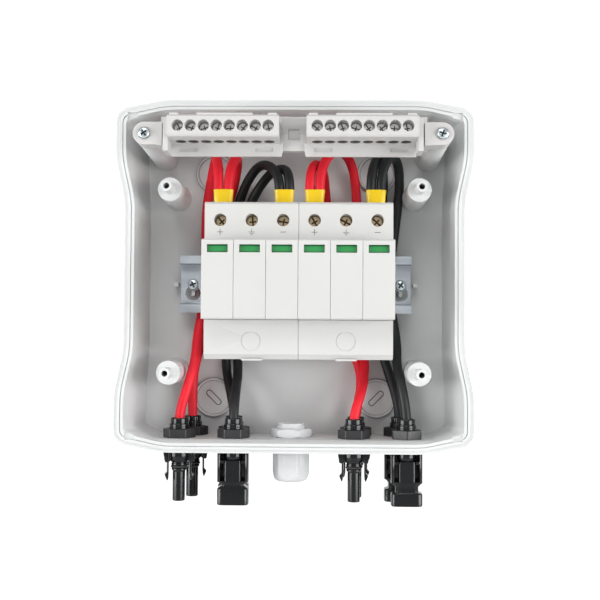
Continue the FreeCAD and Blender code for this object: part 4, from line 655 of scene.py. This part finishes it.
def sockets():
    """Panel sockets: collar, side walls, a column between deep slots, a waist and a block at the mouth."""
    tip = SOCKET_TIP
    core = lathe([(0, tip + 13.4), (4.55, tip + 13.4), (4.55, tip + 0.5), (4.8, tip + 0.05),
                  (5.0, tip + 0.05), (5.0, -14.0), (5.3, -13.2), (5.6, -12.2), (5.75, -11.0), (5.75, -5.8)]
                 + COLLAR + TAIL)
    column = oval([(0.01, 0.01, -25.7), (4.9, 6.0, -25.7), (5.1, 6.2, -25.5), (5.1, 6.2, -13.2),
                   (4.9, 6.0, -13.0), (0.01, 0.01, -13.0)], 7.0, 64)
    web = solid(rectangle(-8.2, 8.2, -5.2, -26.0), -0.7, 0.7)
    wall = side_part(left=7.5, right=9.298, half_width=9.3, half_depth=6.4, power=5.0)
    bridge = side_part(left=4.9, right=7.8, half_width=9.3, half_depth=6.3, power=5.0)
    notched = [(9.3, 6.5, tip + 0.4), (9.3, 6.5, -30.1), (9.05, 6.4, -29.5), (6.7, 6.2, -27.9),
               (6.7, 6.2, -27.3), (9.0, 6.4, -25.7), (9.3, 6.4, -25.2)]
    waisted = [(9.3, 6.5, tip + 0.4), (9.3, 6.5, -32.4), (9.05, 6.4, -31.8), (8.4, 6.3, -31.5),
               (6.9, 6.2, -31.3), (6.9, 6.2, -28.0), (7.1, 6.2, -27.5), (9.2, 6.4, -25.4), (9.3, 6.4, -25.0)]
    for number, (x, y), neck in zip(CONNECTORS, SOCKETS, (notched, notched, waisted, waisted)):
        mouth = [(4.6, 4.6, tip), (8.9, 6.1, tip)]
        forms = [core, column, oval(mouth + neck + [(4.6, 4.6, neck[-1][2]), mouth[0]], 5.0, 72), web]
        for side in SIDES:
            forms.append(solid(wall * [side, 1], -25.9, -5.0, 0.25, True))
            forms.append(solid(bridge * [side, 1], -14.6, -12.9, 0.15, True))
        piece(f"panel_socket_{number}", [at(form, x, y, FLOOR) for form in forms], GLOSS_BLACK,
              "enclosure", [f"socket_connector_{number}"])


def connector_threads():
    """The thread of each tail, seen above its nut, and the nuts themselves."""
    places = PLUGS + SOCKETS
    thread = threaded(radius=5.8, depth=0.55, pitch=1.5, low=3.0, high=8.3)
    piece("tail_threads", [at(thread, x, y, FLOOR) for x, y in places], GLOSS_BLACK, "enclosure")
    nut = hexed(flats=17.0, low=0.0, high=5.3, bore=5.95, drop=0.12)
    turned = [at(nut, x, y, FLOOR, turn) for (x, y), turn in zip(places, NUT_TURNS)]
    piece("hex_nuts", turned, NUT_BLACK, "enclosure", ["connector_nuts"], crease=30)


# Cable gland

GLAND_TURN = -7.0
GLAND_BORE = 6.0
CAP_TURN = -10.0
CAP_TOP = UNDER - 5.3
CAP_FLATS = 19.7
CAP_RADIUS = 11.25
CAP_MOUTH = 8.2
DOME_HEIGHT = 8.0


def gland():
    """Cable gland: threaded body with its hexagon, inside nut, and a domed cap with shallow flats."""
    x, y = middle("gland_body")[:2]
    low = UNDER - 13.5
    body = lathe([(6.5, low), (9.9, low), (9.9, FLOOR + 4.6), (8.3, FLOOR + 4.8), (8.3, FLOOR + 6.4),
                  (7.7, FLOOR + 6.8), (7.7, FLOOR + 7.9), (7.4, FLOOR + 8.3), (6.2, FLOOR + 8.3),
                  (GLAND_BORE, FLOOR + 8.0), (GLAND_BORE, FLOOR - 4.0), (6.5, low)])
    thread = threaded(radius=8.6, depth=0.4, pitch=1.5, low=FLOOR + 4.0, high=FLOOR + 6.6)
    flange = hexed(flats=20.0, low=UNDER - 5.0, high=UNDER, bore=9.0, drop=0.4)
    nut = hexed(flats=22.2, low=FLOOR, high=FLOOR + 5.2, bore=8.7, drop=1.0)
    piece("gland_stem", [at(body, x, y), at(thread, x, y), at(flange, x, y, 0.0, GLAND_TURN)], GLAND_WHITE,
          "enclosure", ["gland_body"], crease=30)
    piece("gland_ring_nut", [at(nut, x, y, 0.0, GLAND_TURN)], GLAND_WHITE, "enclosure",
          ["gland_locknut"], crease=30)
    piece("gland_dome_cap", [at(gland_cap(), x, y, 0.0, CAP_TURN)], GLAND_WHITE, "gland_cap_body",
          ["gland_cap"], crease=28)


def gland_cap():
    """Domed cap: r is the lesser of the rounded hexagon and a quarter ellipse that rises from the mouth."""
    tip = corners("gland_cap")[0][2]
    share = np.linspace(0, 1, 20)[:, None]
    dome = CAP_MOUTH + (CAP_RADIUS - CAP_MOUTH) * np.sqrt(np.clip(1 - (1 - share) ** 2, 0, 1))
    collar = np.array([(CAP_RADIUS, tip + 8.2), (CAP_RADIUS, CAP_TOP - 1.2), (11.1, CAP_TOP - 0.6),
                       (10.9, CAP_TOP - 0.2), (10.7, CAP_TOP)])
    outer = np.minimum(six(CAP_FLATS), np.vstack([dome, collar[:, :1]]))
    bore = np.array([(10.3, CAP_TOP), (10.3, CAP_TOP - 8.8), (8.5, CAP_TOP - 8.8), (8.5, CAP_TOP - 12.5),
                     (6.8, CAP_TOP - 15.0), (6.8, tip), (CAP_MOUTH, tip)])
    radii = np.vstack([outer, bore[:, :1] + 0 * SIX_ANGLES])
    heights = np.vstack([tip + DOME_HEIGHT * share, collar[:, 1:], bore[:, 1:]])
    return rings(radii, heights + 0 * SIX_ANGLES, SIX_ANGLES)


# Small forms of the housings, modules, rail and bases

ENTRY_RISE = 6.9
ENTRY_HEIGHT = 76.0
WINDOW_INSET = 0.43
WINDOW_GAP = 0.15
WINDOW_EDGE_RATIO = 0.8
GROUND_HALF = (5.9, 2.3)
GROUND_SPAN = (0.07, 0.5)
FOLD_OUT = 12.5
FOLD_IN = 12.0
FOLD_SHADE_INSET = 0.2
FOLD_SHADE_SPAN = (0.1, 0.9)
LIP_SHIFT = 0.5


def entry_mouth_shades():
    """Painted shade in each lead entry under the terminal housings: a dark oval mouth and a short dark bore.
    """
    level = corners("terminal_housing_left")[0][2] + ENTRY_RISE
    mouth = oval([(2.25, 2.25, -0.05), (3.0, 4.2, -0.05), (3.0, 4.2, 0.02), (2.66, 2.66, 0.02),
                  (2.66, 2.66, 1.6), (2.25, 2.25, 1.6), (2.25, 2.25, -0.05)], 2.0)
    piece("entry_mouth_shades", [at(mouth, x, -(WALL + ENTRY_HEIGHT), level) for x in block_poles()], ENTRY_SHADE,
          "enclosure")


def windows():
    """Painted shade: a dark green edge in front of each status flag, for its shaded recess; and the red
    ground that shows behind when the flag drops.
    """
    for number in MODULES:
        low, high = corners(f"status_flag_{number}")
        x, _, z = (low + high) / 2
        half_width, _, half_height = (high - low) / 2 - WINDOW_INSET
        rows = []
        for inset, level in ((0.75, 0.05), (0.0, 0.05), (0.0, 1.1), (0.12, 1.1), (0.75, 0.05)):
            across, up = half_width - inset, half_height - inset * WINDOW_EDGE_RATIO
            rows.append([(u, v, level) for u, v in rectangle(-across, across, -up, up)])
        edge = facing(np.array(rows), x, low[1] - WINDOW_GAP, z)
        piece(f"window_edge_shade_{number}", [edge], WINDOW_SHADE_GREEN, f"module_{number}")
        wide, tall = GROUND_HALF
        near, far = GROUND_SPAN
        ground = solid(rectangle(x - wide, x + wide, z - tall, z + tall), high[1] + near, high[1] + far, 0.02)
        piece(f"trip_ground_{number}", [ground], TRIP_RED, f"module_{number}")


def rail_fold_shades():
    """Painted shade in the inside corner of each of the rail's two folds, along its whole length."""
    low, high = corners("din_rail")
    z = middle("din_rail")[2]
    shade_strips = []
    for side in SIDES:
        shade_strip = rectangle(low[0] + FOLD_SHADE_INSET, high[0] - FOLD_SHADE_INSET, z + side * FOLD_OUT, z + side * FOLD_IN)
        shade_strips.append(solid(shade_strip, low[1] + FOLD_SHADE_SPAN[0], low[1] + FOLD_SHADE_SPAN[1], 0.05))
    piece("rail_fold_shades", shade_strips, FOLD_SHADE, "enclosure")


def base_lips():
    """Small tapered lip under the front edge of each surge protector base."""
    for word in ("left", "right"):
        low, high = corners("spd_base_" + word)
        x, z = (low[0] + high[0]) / 2 + LIP_SHIFT, low[2]
        lip = [(x - 5.6, z - 0.75), (x + 5.6, z - 0.75), (x + 6.4, z + 0.4), (x - 6.4, z + 0.4)]
        piece("base_lip_" + word, [solid(lip, low[1] + 0.6, low[1] + 3.4)], DEVICE, "enclosure")


# Knockout pads, made about the z axis with the pad's face at z = 0

PAD_HEIGHT = 1.5
PAD_RADIUS = 12.0
PAD_FROM_SIDE = 54.5
PAD_FROM_END = 33.5
RIM_HALF = 0.65
RIM_RISE = 1.3
RIM_INNER = PAD_RADIUS - 2 * RIM_HALF
FOOT_SPREAD = 0.45
SCORE_REACH = 4.0
SCORE_INNER = 1.45
SCORE_OUTER = 1.95
SCORE_LIFT = 0.03


def pad_rim():
    """Turned rim of a pad, its crest a half circle."""
    crest = [(PAD_RADIUS - RIM_HALF + RIM_HALF * math.cos(a), RIM_RISE - RIM_HALF + RIM_HALF * math.sin(a))
             for a in np.linspace(0, np.pi, 9)]
    return lathe([(RIM_INNER, -1.0), (PAD_RADIUS + 0.15, -1.0)] + crest + [(RIM_INNER - 0.1, -1.0)], 96)


def pad_foot():
    """Flat shaded ring that shows on both sides of a rim's foot."""
    inner, outer = RIM_INNER - FOOT_SPREAD, PAD_RADIUS + FOOT_SPREAD
    return lathe([(inner, -0.3), (outer, -0.3), (outer, 0.04), (inner, 0.04), (inner, -0.3)], 96)


def score(slope):
    """Thin obround line of painted shade in a pad's scored groove, turned by degrees.

    Each point is reach * sign(cos t) + half * cos t along the line's own axis and half * sin t across it.
    """
    t = np.linspace(0, 2 * np.pi, 64, endpoint=False)
    c, s = math.cos(math.radians(slope)), math.sin(math.radians(slope))
    rows = []
    for half, rise in ((SCORE_INNER, -0.3), (SCORE_INNER, SCORE_LIFT), (SCORE_OUTER, SCORE_LIFT),
                       (SCORE_OUTER, -0.3), (SCORE_INNER, -0.3)):
        along = SCORE_REACH * np.sign(np.cos(t)) + half * np.cos(t)
        across = half * np.sin(t)
        rows.append(np.column_stack([along * c - across * s, along * s + across * c, np.full(len(t), rise)]))
    return np.stack(rows)[::-1]


def knockouts():
    """Rounded rim round each of the four knockout pads, its shaded foot, and painted shade along the pad's
    scored line.
    """
    high = corners("enclosure_base")[1]
    waist = middle("rail_screws")[2]
    places = [(side, level, side * (high[0] - PAD_FROM_SIDE), waist + level * (high[2] - PAD_FROM_END))
              for side in SIDES for level in SIDES]
    face = -(WALL + PAD_HEIGHT)
    rims = [facing(pad_rim(), x, face, z) for _, _, x, z in places]
    feet = [facing(pad_foot(), x, face, z) for _, _, x, z in places]
    marks = [facing(score(-side * level * 45), x, face, z) for side, level, x, z in places]
    piece("knockout_rims", rims, TRAY, "enclosure")
    piece("knockout_rim_feet", feet, FOOT_SHADE, "enclosure")
    piece("knockout_scores", marks, SCORE_SHADE, "enclosure")


# Pole signs on the surge protectors: bars of (left, right, bottom, top) about each sign's middle

SIGN_LEVEL = 24.2
PLUS = [(-1.7, 1.7, -0.2, 0.2), (-0.2, 0.2, -1.7, 1.7)]
EARTH = [(-0.18, 0.18, 0.1, 1.8), (-1.8, 1.8, -0.18, 0.18), (-1.15, 1.15, -0.95, -0.6),
         (-0.5, 0.5, -1.7, -1.35)]
MINUS = [(-1.7, 1.7, -0.2, 0.2)]


def pole_signs():
    """Thin signs under the terminal screws, each a few flat bars just proud of the face."""
    front = corners("spd_base_left")[0][1]
    parts = []
    for number, sign in zip(MODULES, (PLUS, EARTH, MINUS) * 2):
        x = middle(f"surge_module_{number}")[0]
        for left, right, bottom, top in sign:
            bar = rectangle(x + left, x + right, SIGN_LEVEL + bottom, SIGN_LEVEL + top)
            parts.append(solid(bar, front - 0.03, front + 0.05, 0.02))
    piece("pole_signs", parts, MARK_GREY, "enclosure")


# Studio: the camera's place in millimetres, the rest in metres; a softbox is (name, azimuth, height, power).

SENSOR_WIDTH = 36.0
PHOTO_WIDTH_PX = 600
FOCAL_PX = 1043.33
CAMERA_PLACE = (15.14, -655.77, -35.77)
CAMERA_YAW = 0.0189
CAMERA_PITCH = 0.0357
CAMERA_ROLL = 0.006
FLOOR_REACH = 30.0
FLOOR_LEVEL = -0.50
SOFTBOX_REACH = 1.25
SOFTBOX_SIZE = (0.95, 0.55)
SOFTBOXES = (("left_softbox", -62, -0.03, 12.3), ("right_softbox", 57, -0.03, 12.8),
             ("upper_softbox", -8, 0.95, 7.2))


def placement(right, up, back, place):
    """Placement matrix from three axes and a place."""
    matrix = np.eye(4)
    matrix[:3] = np.column_stack([right, up, back, place])
    return Matrix(matrix.tolist())


def camera():
    """Camera at the photograph's place: yaw turns its level line of sight, pitch lifts it, roll tilts it."""
    optics = bpy.data.cameras.new("camera")
    optics.sensor_width = SENSOR_WIDTH
    optics.lens = FOCAL_PX / PHOTO_WIDTH_PX * SENSOR_WIDTH
    optics.clip_start = 0.01
    optics.clip_end = 60.0
    level = np.array([-math.sin(CAMERA_YAW), math.cos(CAMERA_YAW), 0])
    right = np.array([math.cos(CAMERA_YAW), math.sin(CAMERA_YAW), 0])
    forward = level * math.cos(CAMERA_PITCH) + np.array([0, 0, math.sin(CAMERA_PITCH)])
    up = -level * math.sin(CAMERA_PITCH) + np.array([0, 0, math.cos(CAMERA_PITCH)])
    c, s = math.cos(CAMERA_ROLL), math.sin(CAMERA_ROLL)
    eye = placed("camera", optics)
    eye.matrix_world = placement(c * right + s * up, c * up - s * right, -forward,
                                 np.array(CAMERA_PLACE) * MM)
    bpy.context.scene.camera = eye


def pale_floor():
    """Wide pale floor that glows more with distance, so that it runs into the backdrop."""
    edge = np.array(rectangle(-FLOOR_REACH, FLOOR_REACH, -FLOOR_REACH, FLOOR_REACH))
    sheet = bpy.data.meshes.new("floor")
    sheet.from_pydata(np.column_stack([edge, np.full(4, FLOOR_LEVEL)]).tolist(), [], [(0, 1, 2, 3)])
    pale = Finish("pale_floor", 0.7)
    pale.tint(pale.noise(0.3), [(0.3, (0.60, 0.60, 0.60)), (0.7, (0.62, 0.62, 0.62))])
    pale.shader.inputs["Emission Color"].default_value = (1.0, 1.0, 1.0, 1.0)
    y = along_y(pale.nodes, pale.links, pale.place)
    glow = carried(pale.nodes, pale.links, y, (0.3, 1.1), (0.12, 0.75))
    pale.links.new(glow, pale.shader.inputs["Emission Strength"])
    sheet.materials.append(pale.material)
    placed("floor", sheet)


def softboxes():
    """Wide soft lights round the front of the box, each aimed at the origin."""
    for name, azimuth, height, power in SOFTBOXES:
        lamp = bpy.data.lights.new(name, "AREA")
        lamp.shape = "RECTANGLE"
        lamp.size, lamp.size_y = SOFTBOX_SIZE
        lamp.energy = power
        turn = math.radians(azimuth)
        place = np.array([SOFTBOX_REACH * math.sin(turn), -SOFTBOX_REACH * math.cos(turn), height])
        back = place / np.linalg.norm(place)
        side = np.cross([0.0, 0.0, 1.0], back)
        side /= np.linalg.norm(side)
        placed(name, lamp).matrix_world = placement(side, np.cross(back, side), back, place)


def backdrop():
    """White surroundings, dim behind the camera and bright behind the box."""
    world = bpy.data.worlds.new("studio")
    bpy.context.scene.world = world
    world.use_nodes = True
    nodes, links = world.node_tree.nodes, world.node_tree.links
    y = along_y(nodes, links, nodes.new("ShaderNodeTexCoord").outputs["Generated"])
    brightness = carried(nodes, links, y, (0.15, 0.85), (0.32, 1.02))
    nodes["Background"].inputs["Color"].default_value = (1.0, 1.0, 1.0, 1.0)
    links.new(brightness, nodes["Background"].inputs["Strength"])


# The whole scene

camera()
pale_floor()
softboxes()
backdrop()
bpy.context.scene.view_settings.view_transform = "Standard"

for node, route in RED_ROUTES.items():
    lead(node, route, RED_SLEEVE)
for node, route in BLACK_ROUTES.items():
    lead(node, route, BLACK_SLEEVE)
screws()
ferrules()
plugs()
sockets()
connector_threads()
gland()
pole_signs()
entry_mouth_shades()
windows()
rail_fold_shades()
base_lips()
knockouts()

for node in ("terminal_housing_left", "terminal_housing_right", "terminal_carrier"):
    eased(node, TERMINAL, "enclosure", 0.3)
for word in ("left", "right"):
    eased("spd_base_" + word, DEVICE, "enclosure", 0.3)
    eased("rail_latch_" + word, DEVICE, "latch_" + word, 0.2)
for number in MODULES:
    eased(f"surge_module_{number}", DEVICE, f"module_{number}", 0.25)
    dress(f"status_flag_{number}", FLAG_GREEN)
    dress(f"module_blades_{number}", BRASS)
eased("enclosure_base", TRAY, "enclosure", 0.35)
eased("din_rail", ZINC, "enclosure", 0.12)
for node, finish in (("terminal_bar_left", BRASS), ("terminal_bar_right", BRASS), ("spd_contacts", BRASS),
                     ("connector_contacts", BRASS), ("spd_clamps", CLAMP_STEEL),
                     ("connector_gaskets", SEAL_BLACK), ("gland_seal", SEAL_BLACK)):
    dress(node, finish)
